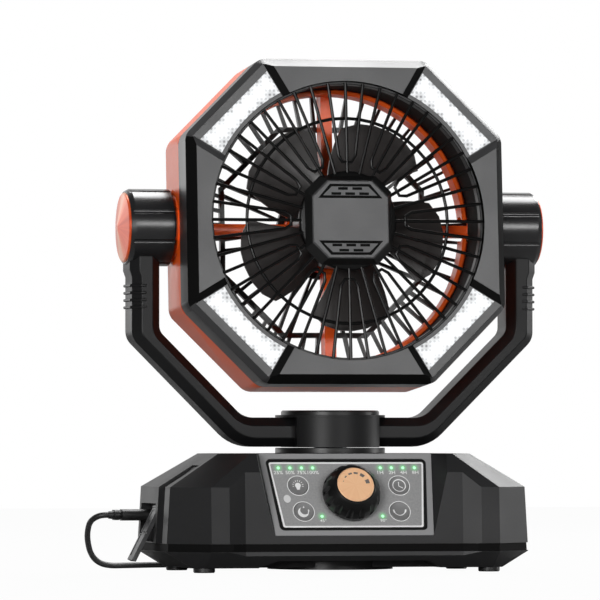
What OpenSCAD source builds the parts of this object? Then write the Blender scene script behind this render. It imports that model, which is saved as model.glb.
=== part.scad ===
// Portable camping fan: octagonal fan head with four light bars, held in a yoke
// that swivels on a low battery base with a leaning control panel.
// Millimetres. Origin on the floor under the swivel axis, +Z up, front faces -Y.

/* [Base] */
// Half width of the base at its shoulder
base_half_w = 109.5; // [105:0.5:115]
// Distance from the swivel axis to the front of the base
base_front = 64; // [62:0.5:68]
// Distance from the swivel axis to the back of the base
base_back = 64; // [60:0.5:68]
// Height of the rubber feet under the base
foot_h = 2.7; // [2:0.1:4]
// Height where the lower chamfer ends
chamfer_z = 12.5; // [11:0.5:13.5]
// Height of the parting line between the two base shells
parting_z = 17.4; // [16.5:0.2:18.4]
// Height of the shoulder, where the walls lean inwards
shoulder_z = 51; // [48:0.5:52]
// Height of the top face of the base
base_top_z = 71; // [70:0.5:73]
// Thickness of the base walls
base_wall = 2.5; // [2:0.1:3]
// Step back of the middle of the front
front_step = 4; // [2:0.5:5]

/* [Control panel] */
// Backward lean of the control panel in degrees
panel_lean = 27; // [25:0.5:29]
// Half width of the panel frame along its top edge
panel_top_half = 53.5; // [52:0.5:55]
// Half width of the panel frame along its bottom edge
panel_low_half = 48.7; // [47:0.5:50]
// Length of the panel frame up its slope
panel_len = 54.6; // [53:0.2:56]
// Width of the panel frame's border
panel_border = 3.4; // [3:0.2:4.5]
// Thickness of the panel frame and of the overlay in it
panel_t = 2.4; // [2:0.1:3]
// Diameter of the four round buttons
button_d = 12; // [11:0.5:13]
// Travel of a pressed button
button_travel = 0.9; // [0.5:0.1:1.1]
// Diameter of the knob's grip
knob_d = 35; // [32:0.5:37]
// Height of the knob's grip above the panel
knob_h = 15; // [12:0.5:17]
// Diameter of the knob's metal cap
knob_cap_d = 22.4; // [20:0.4:24]

/* [Yoke] */
// Height of the underside of the yoke's crossbar
yoke_low_z = 75; // [74.5:0.5:77]
// Thickness of the yoke's crossbar
yoke_bar = 17.7; // [16:0.5:19]
// Length of a pivot housing, from beside the head to the outer side of an arm
housing_len = 24.5; // [23:0.5:26]
// Thickness of an arm, measured across the object
arm_t = 17; // [15:0.5:18]
// Depth of the yoke, front to back
arm_depth = 30; // [26:1:34]
// Chamfer along the yoke's long edges
arm_chamfer = 5.2; // [3:0.2:6]
// Diameter of a pivot housing
pivot_d = 46.5; // [44:0.5:50]
// Diameter of a pivot cap
pivot_cap_d = 42; // [38:0.5:43]
// Diameter of the trunnion that carries the head in a pivot housing
trunnion_d = 16; // [12:1:20]
// Diameter of the swivel ring on the base and of the hub's flange
swivel_d = 66.6; // [62:0.6:70]
// Diameter of the swivel shaft
shaft_d = 20; // [16:1:24]

/* [Head] */
// Gap between the yoke's crossbar and the head
head_clear = 16.3; // [15:0.1:18]
// Backward tilt of the head at rest in degrees
head_tilt = 4.7; // [3:0.1:6]
// Distance from the head's axis to an outer flat
head_half = 98; // [97:0.5:98.5]
// Distance from the pivot plane to the front face
face_f = 47; // [45:0.5:49]
// Width of the chamfer round the front face
face_chamfer = 5.3; // [4:0.2:6]
// Depth of the chamfer round the front face
face_chamfer_f = 7.3; // [6:0.2:8]
// Half length of the upright and level flats of the front face
flat_half = 49.5; // [47:0.5:52]
// Distance from the pivot plane to the back of the bezel
bezel_back_f = 20.3; // [18:0.5:22]
// Distance from the pivot plane to the back of the shroud
shroud_back_f = -18.5; // [-21:0.5:-17]
// Least width of the front face round its air opening
face_rim = 8.4; // [8:0.1:9.5]
// Wall thickness of the head's mouldings
head_wall = 2.5; // [2:0.1:3]
// Depth of the corner recesses that hold the light bars
lamp_recess = 2.5; // [2:0.1:3]
// Half width of the badge in the middle of the grille
badge_half = 23.5; // [21:0.5:25]

/* [Fan] */
// Number of blades
blade_count = 5; // [3:1:7]
// Radius of the blade tips
blade_r = 65; // [60:1:70]
// Radius of the blade hub
blade_hub_r = 26; // [24:1:28]
// Diameter of the fan motor
motor_d = 46; // [42:1:50]
// Diameter of the motor shaft
motor_shaft_d = 5; // [4:0.5:6]
// Width of a grille wire, seen from the front
wire_w = 1.5; // [1.4:0.1:2.2]
// Number of loops in the front grille
loop_count = 12; // [8:1:14]

/* [Hidden] */
// Running clearance round shafts, and the gap between close still pieces
run_gap = 0.05;
seat_gap = 0.3;
fine = 64;

// Base outline at a given growth of its sides; the same ten corners at every height
shoulder_cut_x = 20.9;
shoulder_cut_y = 18;
rear_cut_y = 28;
wall_draft = 2;
step_in_x = base_half_w - shoulder_cut_x - 12;
top_x = 77.8;
top_cut_x = 62.2;
top_front = base_front - (base_top_z - shoulder_z) * tan(panel_lean);
top_back = base_back - 12;
floor_in = 14;
foot_r = 6.5;
foot_x = 88;
foot_y = 37.5;

// Panel plane: its middle lies on the slope, and local z points out of it
panel_mid_z = base_top_z - panel_len / 2 * cos(panel_lean);
panel_mid_y = -49.5;
knob_shaft_d = 6;
overlay_gap = 0.15;

// Yoke
bar_top_z = yoke_low_z + yoke_bar;
pivot_z = bar_top_z + head_clear + head_half;
pivot_in_x = head_half + 2.5;
arm_out_x = pivot_in_x + housing_len;
arm_in_x = arm_out_x - arm_t;
diagonal_gap = 20.6;
diagonal_t = 21.5;
diagonal_in = head_half - face_chamfer + flat_half + face_chamfer * sqrt(2) + diagonal_gap - pivot_z;
diagonal_out = diagonal_in + diagonal_t;
hub_half_x = 25.6;
hub_cap_d = 59.5;
hub_flange_t = 1.5;
housing_wall = 3;

// Head, in its own frame: x right, y up, z forward along the fan's axis
face_half = head_half - face_chamfer;
slant_half = (face_half + flat_half) / sqrt(2) + face_chamfer;
aperture_r = face_half - face_rim;
ring_r = aperture_r - 2.8;
lens_in = [flat_half - 9.5, face_half - 15.7];
lens_band = 4.5;
spoke_f = -4;
spoke_deep = 10;
spoke_w = 7;
grille_f = face_f - 2.6;
grille_t = 2;
ring_wire_r = aperture_r - 22.3;
hub_disc_r = 30;
rear_ring_half = ring_r - 18.5;
blade_f = 23;

// Cord
cord_d = 3.6;
plug_y = 20;
plug_z = 33.8;
port_wall_x = -base_half_w + 5.5;

// ---- Shared outlines and solids ----

function unit(v) = v / norm(v);
function turned(p, a) = [p[0] * cos(a) - p[1] * sin(a), p[0] * sin(a) + p[1] * cos(a)];
function at_z(outline, z) = [for (p = outline) [p[0], p[1], z]];
function mirrored(half) = concat(half, [for (i = [len(half) - 1:-1:0]) [-half[i][0], half[i][1]]]);

// Arc that rounds the corner at b of an anticlockwise outline
function corner_arc(a, b, c, r, n) = let (
    u = unit(a - b), v = unit(c - b), half = acos(u * v) / 2,
    centre = b + unit(u + v) * r / sin(half), start = b + u * r / tan(half) - centre
) [for (i = [0:n]) centre + turned(start, (180 - 2 * half) * i / n)];

function rounded(outline, r, n = 4) = let (m = len(outline))
    [for (i = [0:m - 1]) each corner_arc(outline[(i + m - 1) % m], outline[i], outline[(i + 1) % m], r, n)];

// Octagon with level and upright flats at half, whose corners lie at corner
function octagon(half, corner) = [
    [half, -corner], [half, corner], [corner, half], [-corner, half],
    [-half, corner], [-half, -corner], [-corner, -half], [corner, -half]
];

// Solid through a stack of anticlockwise outlines that have as many points each
module loft(rings) {
    n = len(rings[0]);
    last = (len(rings) - 1) * n;
    polyhedron(
        points = [for (ring = rings) each ring],
        faces = concat(
            [[for (i = [0:n - 1]) i]],
            [for (k = [0:n:last - n], i = [0:n - 1])
                let (a = k + i, b = k + (i + 1) % n) each [[a, a + n, b + n], [a, b + n, b]]],
            [[for (i = [n - 1:-1:0]) last + i]]
        )
    );
}

module ring(outer_d, inner_d, h) {
    difference() {
        cylinder(d = outer_d, h = h, $fn = fine);
        translate([0, 0, -1]) cylinder(d = inner_d, h = h + 2, $fn = fine);
    }
}

// ---- Base shells ----

// Plan of the base, grown by g and drawn in by t for the inner side of a wall
function base_plan(w, f, b, side_f, side_b, cut, t) = let (k = 0.42 * t) [
    [-w + t, -side_f + k], [-cut + k, -f + t], [cut - k, -f + t], [w - t, -side_f + k],
    [w - t, side_b - k], [cut - k, b - t], [-cut + k, b - t], [-w + t, side_b - k]
];
function wall_plan(g, t) = base_plan(
    base_half_w + g, base_front + g, base_back + g,
    base_front - shoulder_cut_y, base_back - rear_cut_y, base_half_w - shoulder_cut_x, t);
function top_plan(t) = base_plan(top_x, top_front, top_back, top_front - shoulder_cut_y, top_back - rear_cut_y - 4, top_cut_x, t);
function draft_at(z) = (shoulder_z - z) * wall_draft / (shoulder_z - parting_z);

// The set-back middle of the front, as a tool that leans with the wall
function step_plan(z, t) = let (y = -base_front - draft_at(z) + front_step + t) [
    [-step_in_x - 22, y - front_step - 8], [step_in_x + 22, y - front_step - 8],
    [step_in_x - 9.7 + t, y], [-step_in_x + 9.7 - t, y]
];
module front_step_tool(t) {
    loft([at_z(step_plan(-1, t), -1), at_z(step_plan(base_top_z + 1, t), base_top_z + 1)]);
}

module on_panel() {
    translate([0, panel_mid_y, panel_mid_z]) rotate([90 - panel_lean, 0, 0]) children();
}
function panel_half(y) = panel_low_half + (panel_top_half - panel_low_half) * (y / panel_len + 0.5);
function panel_outline(grow, up) = let (h = panel_len / 2) [
    [-panel_half(-h) - grow, -h - grow], [panel_half(-h) + grow, -h - grow],
    [panel_half(h + up) + grow, h + up], [-panel_half(h + up) - grow, h + up]
];
recess_deep = 24;
recess_flare = 9;
module panel_recess() {
    on_panel() loft([
        at_z(panel_outline(overlay_gap, 0.2), -panel_t), at_z(panel_outline(overlay_gap, 0.2), 0),
        at_z(panel_outline(recess_flare, 40), recess_deep)
    ]);
    on_panel() translate([0, 0, -panel_t]) linear_extrude(recess_deep) polygon([
        [-panel_top_half, panel_len / 2 - 1], [panel_top_half, panel_len / 2 - 1],
        [panel_top_half, panel_len / 2 + 20], [-panel_top_half, panel_len / 2 + 20]
    ]);
}

// Bay in the left wall that holds the charging sockets
bay_front_y = -9.5;
bay_back_y = 31.5;
bay_low_z = parting_z + 0.6;
bay_high_z = 41;
module port_bay(t) {
    translate([-base_half_w - 8, bay_front_y - t, bay_low_z - t])
        cube([port_wall_x + base_half_w + 8 + t, bay_back_y - bay_front_y + 2 * t, bay_high_z - bay_low_z + 2 * t]);
}

// Upright channel in each side wall that runs on over the shoulder
channel_w = 18;
channel_y = -24;
channel_deep = 3.5;
channel_top_z = 64;
module side_channel(side, t) {
    lean = (base_half_w - top_x) / (base_top_z - shoulder_z);
    top_in = base_half_w - (channel_top_z - shoulder_z) * lean;
    y0 = channel_y - channel_w / 2 - t;
    rotate([90, 0, 0]) translate([0, 0, -y0 - channel_w - 2 * t]) linear_extrude(channel_w + 2 * t)
        polygon([for (p = [
            [base_half_w - channel_deep - t, parting_z - 1], [base_half_w + 9, parting_z - 1],
            [base_half_w + 9, channel_top_z + t], [top_in - channel_deep / 2, channel_top_z + t],
            [base_half_w - channel_deep - t, shoulder_z - channel_deep / 2]
        ]) [side * p[0], p[1]]]);
}

board_w = 92;
board_h = 44;
board_f = -panel_t - base_wall - 1.6;
window_w = 89;
window_h = 40;
module base_upper_shell() {
    color("#2e2e2e") difference() {
        loft([
            at_z(wall_plan(draft_at(parting_z), 0), parting_z), at_z(wall_plan(0, 0), shoulder_z),
            at_z(top_plan(0), base_top_z)
        ]);
        front_step_tool(0);
        panel_recess();
        difference() {
            loft([
                at_z(wall_plan(draft_at(parting_z - 1), base_wall), parting_z - 1),
                at_z(wall_plan(0, base_wall), shoulder_z - base_wall / 2),
                at_z(top_plan(base_wall * 1.6), base_top_z - base_wall)
            ]);
            front_step_tool(base_wall);
            on_panel() translate([-step_in_x + 6, -60, -panel_t - base_wall]) cube([2 * step_in_x - 12, 130, 60]);
            port_bay(base_wall);
            for (side = [-1, 1]) side_channel(side, base_wall);
            for (x = [-1, 1], y = [-1, 1]) translate([x * boss_x, y * boss_y + boss_mid_y, parting_z - 2])
                cylinder(d = boss_d, h = base_top_z, $fn = 32);
        }
        port_bay(0);
        for (side = [-1, 1]) side_channel(side, 0);
        on_panel() translate([-window_w / 2, -window_h / 2, -panel_t - base_wall - 1])
            cube([window_w, window_h, base_wall + 2]);
        translate([0, 0, base_top_z - 2 * base_wall]) cylinder(d = collar_hole_d, h = 20, $fn = fine);
        for (y = [plug_y, usb_y]) translate([port_wall_x - 1, y - socket_w / 2 - seat_gap, plug_z - socket_h / 2 - seat_gap])
            cube([base_wall + 2, socket_w + 2 * seat_gap, socket_h + 2 * seat_gap]);
        for (x = [-1, 1], y = [-1, 1]) translate([x * boss_x, y * boss_y + boss_mid_y, parting_z - 2])
            cylinder(d = screw_d + 0.2, h = 14, $fn = 32);
        flap_pin_hole();
    }
}
boss_x = 77;
boss_y = 40.5;
boss_mid_y = -2.5;
boss_d = 9;
screw_d = 3;
screw_head_h = 2.4;
collar_hole_d = 46;
usb_y = -1;
socket_w = 14;
socket_h = 7;

module front_cutout() {
    h = 4.4;
    rotate([90, 0, 0]) translate([0, 0, base_front - 30]) linear_extrude(40) polygon([
        [-56, foot_h - 1], [56, foot_h - 1], [56, foot_h + 0.4], [48, foot_h + h], [-46, foot_h + h], [-56, foot_h + 0.4]
    ]);
}

hook_plate_d = 76;
plate_z = 1.2;
hook_bay_z = 7.4;
module base_lower_shell() {
    bands = 0.9;
    color("#262626") difference() {
        union() {
            loft([at_z(wall_plan(-floor_in, 0), foot_h), at_z(wall_plan(draft_at(chamfer_z), 0), chamfer_z),
                at_z(wall_plan(draft_at(chamfer_z), 0), chamfer_z + 0.3)]);
            loft([at_z(wall_plan(draft_at(chamfer_z) - bands, 0), chamfer_z), at_z(wall_plan(draft_at(parting_z) - bands, 0), parting_z)]);
        }
        difference() {
            loft([at_z(wall_plan(-floor_in, base_wall), foot_h + base_wall), at_z(wall_plan(0, base_wall), chamfer_z),
                at_z(wall_plan(0, base_wall), parting_z + 1)]);
            translate([0, 0, -1]) cylinder(d = hook_plate_d + 2 * base_wall, h = hook_bay_z + base_wall + 1, $fn = fine);
            front_step_tool(base_wall + bands);
            cutout_floor();
            for (x = [-1, 1], y = [-1, 1]) translate([x * boss_x, y * boss_y + boss_mid_y, 0])
                cylinder(d = boss_d, h = parting_z, $fn = 32);
        }
        front_step_tool(0);
        front_cutout();
        translate([0, 0, -1]) cylinder(d = hook_plate_d + 2 * seat_gap, h = hook_bay_z + 1, $fn = fine);
        for (x = [-1, 1], y = [-1, 1]) {
            translate([x * boss_x, y * boss_y + boss_mid_y, -1]) cylinder(d = screw_d + 0.4, h = 30, $fn = 32);
            translate([x * boss_x, y * boss_y + boss_mid_y, -1]) cylinder(d = 6.2, h = 9, $fn = 32);
            translate([x * foot_x, y * foot_y + foot_mid_y, -1]) cylinder(r = foot_r - 1.5, h = foot_h + 2, $fn = 32);
        }
        for (x = [-1, 1]) translate([x * plate_screw_x, 0, -1]) cylinder(d = screw_d + 0.4, h = 20, $fn = 32);
    }
}
foot_mid_y = -5.5;
module cutout_floor() {
    translate([-60, -base_front - 4, 0]) cube([120, 36, foot_h + 4.4 + base_wall]);
}

module rubber_feet() {
    color("#181818") for (x = [-1, 1], y = [-1, 1]) translate([x * foot_x, y * foot_y + foot_mid_y, 0]) {
        cylinder(r1 = foot_r - 0.6, r2 = foot_r, h = 0.6, $fn = fine);
        translate([0, 0, 0.6]) cylinder(r = foot_r, h = foot_h - 0.6, $fn = fine);
        cylinder(r = foot_r - 1.8, h = foot_h + 0.9, $fn = fine);
    }
}

module base_screws() {
    color("#8a8a8a") for (x = [-1, 1], y = [-1, 1]) translate([x * boss_x, y * boss_y + boss_mid_y, 8]) {
        difference() {
            translate([0, 0, -screw_head_h]) cylinder(d = 5.6, h = screw_head_h, $fn = 32);
            translate([0, 0, -screw_head_h - 0.1]) cylinder(d = 2.6, h = 1.2, $fn = 6);
        }
        cylinder(d = screw_d, h = parting_z + 2, $fn = 32);
    }
}

// ---- Control panel ----

overlay_t = panel_t - 0.6;
module panel_frame() {
    b = panel_border;
    color("#8e8e8e") on_panel() translate([0, 0, -panel_t]) difference() {
        linear_extrude(panel_t) polygon(rounded(panel_outline(0, 0), 0.8, 2));
        translate([0, 0, -1]) linear_extrude(panel_t + 2) polygon(rounded(panel_outline(-b, -b), 3, 4));
    }
}

button_rows = [[31.2, 6.1], [29.6, -11.1]];
led_columns = [20.9, 27.8, 34.9, 42.1];
led_y = 18;
swing_led = [18.7, -14.3];
led_d = 1.8;
window_at = [-38.8, -2.6];
window_size = [4.4, 5.2];
knob_at = [0, -1];
led_places = concat([for (side = [-1, 1], x = led_columns) [side * x, led_y]],
    [for (side = [-1, 1]) [side * swing_led[0], swing_led[1]]]);

module panel_overlay() {
    b = panel_border + overlay_gap;
    color("#8c8c8c") on_panel() translate([0, 0, -panel_t]) difference() {
        linear_extrude(overlay_t) polygon(rounded(panel_outline(-b, -b), 3, 4));
        for (row = button_rows, side = [-1, 1]) translate([side * row[0], row[1], -1])
            cylinder(d = button_d + 0.5, h = overlay_t + 2, $fn = fine);
        translate([knob_at[0], knob_at[1], -1]) cylinder(d = bushing_d + 0.4, h = overlay_t + 2, $fn = fine);
        for (p = led_places) translate([p[0], p[1], -1]) cylinder(d = led_d + 0.1, h = overlay_t + 2, $fn = 16);
        translate([window_at[0], window_at[1], -1]) scale([window_size[0] + 0.1, window_size[1] + 0.1, 1])
            cylinder(d = 1, h = overlay_t + 2, $fn = 32);
    }
}

module receiver_window() {
    color("#2a1416") on_panel() translate([window_at[0], window_at[1], board_f]) {
        scale([window_size[0], window_size[1], 1]) cylinder(d = 1, h = -board_f - panel_t + overlay_t, $fn = 32);
    }
}

module panel_lights() {
    color("#7dff9a") on_panel() for (p = led_places) translate([p[0], p[1], board_f])
        cylinder(d = led_d, h = -board_f - panel_t + overlay_t, $fn = 16);
}

board_t = 1.6;
switch_h = 2.2;
module control_board() {
    color("#1f5a34") on_panel() translate([-board_w / 2, -board_h / 2, board_f - board_t]) difference() {
        cube([board_w, board_h, board_t]);
        for (x = [3, board_w - 3], y = [3, board_h - 3]) translate([x, y, -1]) cylinder(d = 2.6, h = 4, $fn = 24);
    }
}
module button_switches() {
    color("#20242a") on_panel() for (row = button_rows, side = [-1, 1])
        translate([side * row[0] - 3, row[1] - 3, board_f]) cube([6, 6, switch_h - button_travel]);
}

// One round push button: face, skirt flange behind the overlay and stem to its switch
button_proud = 0.5;
module push_button(side, row) {
    top = -panel_t + overlay_t + button_proud;
    on_panel() translate([side * row[0], row[1], 0]) {
        translate([0, 0, -panel_t - button_travel]) cylinder(d = button_d, h = top + panel_t + button_travel - 0.4, $fn = fine);
        translate([0, 0, top - 0.4]) cylinder(d1 = button_d, d2 = button_d - 1, h = 0.4, $fn = fine);
        translate([0, 0, board_f + switch_h]) cylinder(d = 4, h = -board_f - switch_h - panel_t, $fn = 24);
    }
}
module light_button() { color("#787878") push_button(-1, button_rows[0]); }
module night_button() { color("#787878") push_button(-1, button_rows[1]); }
module timer_button() { color("#787878") push_button(1, button_rows[0]); }
module swing_button() { color("#787878") push_button(1, button_rows[1]); }

bushing_d = 9;
encoder_h = 3.4;
knob_shaft_r = knob_shaft_d / 2;
module knob_encoder() {
    color("#9a9a9a") on_panel() translate([knob_at[0], knob_at[1], board_f]) difference() {
        union() {
            translate([-7, -7, 0]) cube([14, 14, encoder_h]);
            cylinder(d = bushing_d, h = -board_f + 1, $fn = fine);
        }
        translate([0, 0, 1]) cylinder(r = knob_shaft_r + run_gap, h = 20, $fn = fine);
    }
}
module knob_shaft() {
    color("#c8c8c8") on_panel() translate([knob_at[0], knob_at[1], board_f + 1.3])
        cylinder(r = knob_shaft_r, h = -board_f - 1.3 + knob_h - 4, $fn = fine);
}

knob_foot = 0.8;
knob_notches = 14;
module knob_grip() {
    color("#151515") on_panel() translate([knob_at[0], knob_at[1], 0]) difference() {
        rotate_extrude($fn = fine) polygon([
            [0, 1.6], [knob_d / 2 - 2, 1.6], [knob_d / 2 - 2, knob_foot], [knob_d / 2 - 0.6, knob_foot],
            [knob_d / 2, knob_foot + 1], [knob_d / 2, knob_foot + 4], [knob_d / 2 - 1.2, knob_h - 5.5],
            [knob_cap_d / 2 + 1.4, knob_h - 0.4], [knob_cap_d / 2 + 0.9, knob_h], [0, knob_h]
        ]);
        translate([0, 0, knob_h - 1.6]) cylinder(d = knob_cap_d + 2 * 0.1, h = 4, $fn = fine);
        translate([0, 0, -1]) cylinder(r = knob_shaft_r, h = knob_h - 3, $fn = fine);
        for (i = [0:knob_notches - 1]) rotate([0, 0, i * 360 / knob_notches])
            translate([knob_d / 2 + 1.7, 0, knob_foot + 3.2]) rotate([0, -14, 0]) cylinder(d = 5, h = knob_h, $fn = 16);
    }
}
module knob_cap() {
    color("#ffc896") on_panel() translate([knob_at[0], knob_at[1], knob_h - 1.6])
        rotate_extrude($fn = fine) polygon([
            [0, 0], [knob_cap_d / 2, 0], [knob_cap_d / 2, 1.7], [knob_cap_d / 2 - 0.5, 2.1],
            [knob_cap_d / 2 - 1, 2.1], [knob_cap_d / 2 - 1.2, 1.8], [0, 1.8]
        ]);
}

// ---- Inside the base ----

cell_d = 18.4;
cell_len = 65;
bay_roof_z = hook_bay_z + base_wall;
cell_z = bay_roof_z + 8 + cell_d / 2;
cell_y = base_back - base_wall - 17.2;
cell_x = 35;
module battery_cells() {
    color("#3f7fc4") for (x = [-1, 1]) translate([x * cell_x - cell_len / 2, cell_y, cell_z])
        rotate([0, 90, 0]) cylinder(d = cell_d, h = cell_len, $fn = fine);
}
module battery_holder() {
    y = cell_y;
    color("#1c1c1c") difference() {
        translate([-cell_x - cell_len / 2 - 2.2, y - cell_d / 2 - 2, bay_roof_z])
            cube([2 * cell_x + cell_len + 4.4, cell_d + 4, cell_z - bay_roof_z - 1]);
        for (x = [-1, 1]) translate([x * cell_x - cell_len / 2 - seat_gap, y, cell_z])
            rotate([0, 90, 0]) cylinder(d = cell_d + 0.2, h = cell_len + 2 * seat_gap, $fn = fine);
    }
}

// A socket behind the port bay's wall: shell with its mouth at the wall's face
module socket(y, mouth_w, mouth_h) {
    translate([port_wall_x - 0.2, y, plug_z]) difference() {
        translate([0, -socket_w / 2, -socket_h / 2]) cube([12, socket_w, socket_h]);
        translate([-1, -mouth_w / 2, -mouth_h / 2]) cube([9.5, mouth_w, mouth_h]);
    }
}
tip_w = 8.3;
tip_h = 2.5;
module charge_socket() { color("#b8b8b8") socket(plug_y, tip_w + 0.2, tip_h + 0.2); }
module output_socket() { color("#b8b8b8") socket(usb_y, 12.4, 4.9); }
module port_board() {
    color("#1f5a34") translate([port_wall_x + base_wall + 0.4, usb_y - socket_w / 2, plug_z - socket_h / 2 - board_t])
        cube([20, plug_y - usb_y + socket_w, board_t]);
}

gear_d = 56;
gear_top_z = base_top_z - base_wall - 8.4;
module swing_gearmotor() {
    color("#5a5d60") difference() {
        union() {
            translate([0, 0, gear_top_z - 18]) cylinder(d = gear_d - 12, h = 18, $fn = fine);
            translate([0, 0, bay_roof_z]) cylinder(d = 30, h = gear_top_z - 17 - bay_roof_z, $fn = fine);
            for (side = [-1, 1]) translate([side * 24, 0, gear_top_z - 3]) cylinder(d = 9, h = 3, $fn = 32);
            translate([-24, -4.5, gear_top_z - 3]) cube([48, 9, 3]);
        }
        translate([0, 0, gear_top_z - 14]) cylinder(d = shaft_d - 8 + 2 * run_gap, h = 30, $fn = fine);
    }
}
collar_t = 3.4;
module swivel_collar() {
    color("#222222") {
        difference() {
            union() {
                translate([0, 0, base_top_z]) cylinder(d = swivel_d, h = collar_t, $fn = fine);
                translate([0, 0, gear_top_z]) cylinder(d = collar_hole_d - 2 * 0.1, h = base_top_z - gear_top_z + 0.1, $fn = fine);
            }
            translate([0, 0, gear_top_z - 1]) cylinder(d = shaft_d + 2 * run_gap, h = 40, $fn = fine);
        }
    }
}

// ---- Hanging hook under the base ----

hook_rod = 4.4;
hook_r = 21;
hook_pin_y = 24;
hook_mid_y = -4;
hook_pin_d = 2.6;
hook_z = plate_z + 0.2 + hook_rod / 2;
hook_gap = 0.9;
hook_eye = 6.5;
bay_half = hook_eye + 1.1;
module hook_plate() {
    color("#141414") difference() {
        translate([0, 0, plate_z]) cylinder(d = hook_plate_d, h = hook_bay_z - plate_z, $fn = fine);
        translate([0, 0, plate_z - 1]) linear_extrude(hook_rod + 1.6) difference() {
            union() {
                translate([0, hook_mid_y]) circle(r = hook_r + hook_rod / 2 + hook_gap, $fn = fine);
                translate([-bay_half, 0]) square([2 * bay_half, hook_pin_y + hook_rod / 2 + hook_gap]);
            }
            translate([0, hook_mid_y]) circle(r = hook_r - hook_rod / 2 - hook_gap - 2, $fn = fine);
        }
        for (x = [-1, 1]) translate([x * plate_screw_x, 0, plate_z - 1]) cylinder(d = screw_d + 0.2, h = 12, $fn = 24);
        translate([-bay_half - 4, hook_pin_y, hook_z]) rotate([0, 90, 0])
            cylinder(d = hook_pin_d, h = 2 * bay_half + 8, $fn = 24);
    }
}
module hook_pin() {
    color("#9a9a9a") translate([-bay_half - 4, hook_pin_y, hook_z]) rotate([0, 90, 0])
        cylinder(d = hook_pin_d, h = 2 * bay_half + 8, $fn = 24);
}
plate_screw_x = 31;
module plate_screws() {
    color("#8a8a8a") for (x = [-1, 1]) translate([x * plate_screw_x, 0, plate_z + 0.4])
        cylinder(d = screw_d, h = bay_roof_z - plate_z - 0.4, $fn = 32);
}
module hanging_hook() {
    color("#2b2b2b") difference() {
        union() {
            translate([0, hook_mid_y, hook_z]) rotate([0, 0, -160]) rotate_extrude(angle = 250, $fn = fine)
                translate([hook_r, 0]) circle(d = hook_rod, $fn = 16);
            translate([0, hook_mid_y + hook_r - 1, hook_z]) rotate([-90, 0, 0])
                cylinder(d = hook_rod - 0.6, h = hook_pin_y - hook_mid_y - hook_r - 0.6, $fn = fine);
            translate([-hook_eye, hook_pin_y, hook_z]) rotate([0, 90, 0])
                cylinder(d = hook_rod, h = 2 * hook_eye, $fn = fine);
        }
        translate([-hook_eye - 1, hook_pin_y, hook_z]) rotate([0, 90, 0])
            cylinder(d = hook_pin_d + 2 * run_gap, h = 2 * hook_eye + 2, $fn = 24);
    }
}

// ---- Socket cover that hangs from its pin, leaning out of the bay ----

flap_lean = 27;
flap_len = 36;
flap_w = 15;
flap_t = 2.6;
flap_y = bay_front_y + 0.5;
flap_pin_x = port_wall_x - 3;
flap_pin_z = bay_high_z - 2.2;
flap_pin_d = 1.6;
flap_pads = [[2.6, 14.5], [18.6, 14.5]];
module flap_pin_hole() {
    translate([flap_pin_x, bay_front_y + 1, flap_pin_z]) rotate([90, 0, 0]) cylinder(d = flap_pin_d, h = 3, $fn = 24);
}
module flap_pin() {
    color("#9a9a9a") translate([flap_pin_x, flap_y + flap_w + 0.4, flap_pin_z]) rotate([90, 0, 0])
        cylinder(d = flap_pin_d, h = flap_w + 0.9 + 1.9, $fn = 24);
}
module on_flap() {
    translate([flap_pin_x, flap_y, flap_pin_z]) rotate([0, flap_lean, 0]) children();
}
module port_flap() {
    barrel_d = 3.4;
    bump_d = 6;
    color("#202020") on_flap() difference() {
        union() {
            translate([0, flap_w, 0]) rotate([90, 0, 0]) rotate([0, 0, 90]) cylinder(d = barrel_d, h = flap_w, $fn = fine);
            difference() {
                translate([-flap_t / 2, 0.4, -flap_len]) cube([flap_t, flap_w - 0.8, flap_len - flap_pin_d / 2 - 0.2]);
                for (p = flap_pads) translate([-flap_t / 2 - 1, 2, -p[0] - p[1]]) cube([1.4, flap_w - 4, p[1]]);
                translate([-flap_t / 2 - 1, -1, -18.2]) cube([1.8, flap_w + 2, 1]);
            }
            for (bump = [[10, 2.4], [26, 1.1]]) translate([flap_t / 2 - 0.1, flap_w / 2, -bump[0]]) rotate([0, 90, 0])
                cylinder(d = bump_d, h = bump[1], $fn = 32);
        }
        translate([0, flap_w + 1, 0]) rotate([90, 0, 0]) rotate([0, 0, 90])
            cylinder(d = flap_pin_d + 2 * run_gap, h = flap_w + 2, $fn = fine);
    }
}

// ---- Charging lead ----

plug_face_x = port_wall_x - 0.8;
plug_len = 20.5;
plug_neck = 1.7;
relief_len = 6;
plug_h = 6.8;
plug_w = 11.5;
lead_x = plug_face_x - plug_len - plug_neck - relief_len;
module plug_body(w, h, len) {
    for (side = [-1, 1]) translate([0, side * (w - h) / 2, 0]) rotate([0, -90, 0]) cylinder(d = h, h = len, $fn = 32);
    translate([-len, (h - w) / 2, -h / 2]) cube([len, w - h, h]);
}
module charge_plug() {
    color("#161616") translate([plug_face_x, plug_y, plug_z]) {
        plug_body(plug_w, plug_h, plug_len);
        translate([-plug_len - plug_neck, 0, 0]) plug_body(plug_w - 1, plug_h - 0.6, 3);
        rotate([0, -90, 0]) cylinder(d = plug_h - 1.8, h = plug_len + plug_neck + 1, $fn = 32);
        translate([-plug_len - plug_neck, 0, 0]) rotate([0, -90, 0])
            cylinder(d1 = plug_h - 1, d2 = cord_d + 0.8, h = relief_len, $fn = 32);
        translate([-1, -tip_w / 2, -tip_h / 2]) cube([8.4, tip_w, tip_h]);
    }
}

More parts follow.
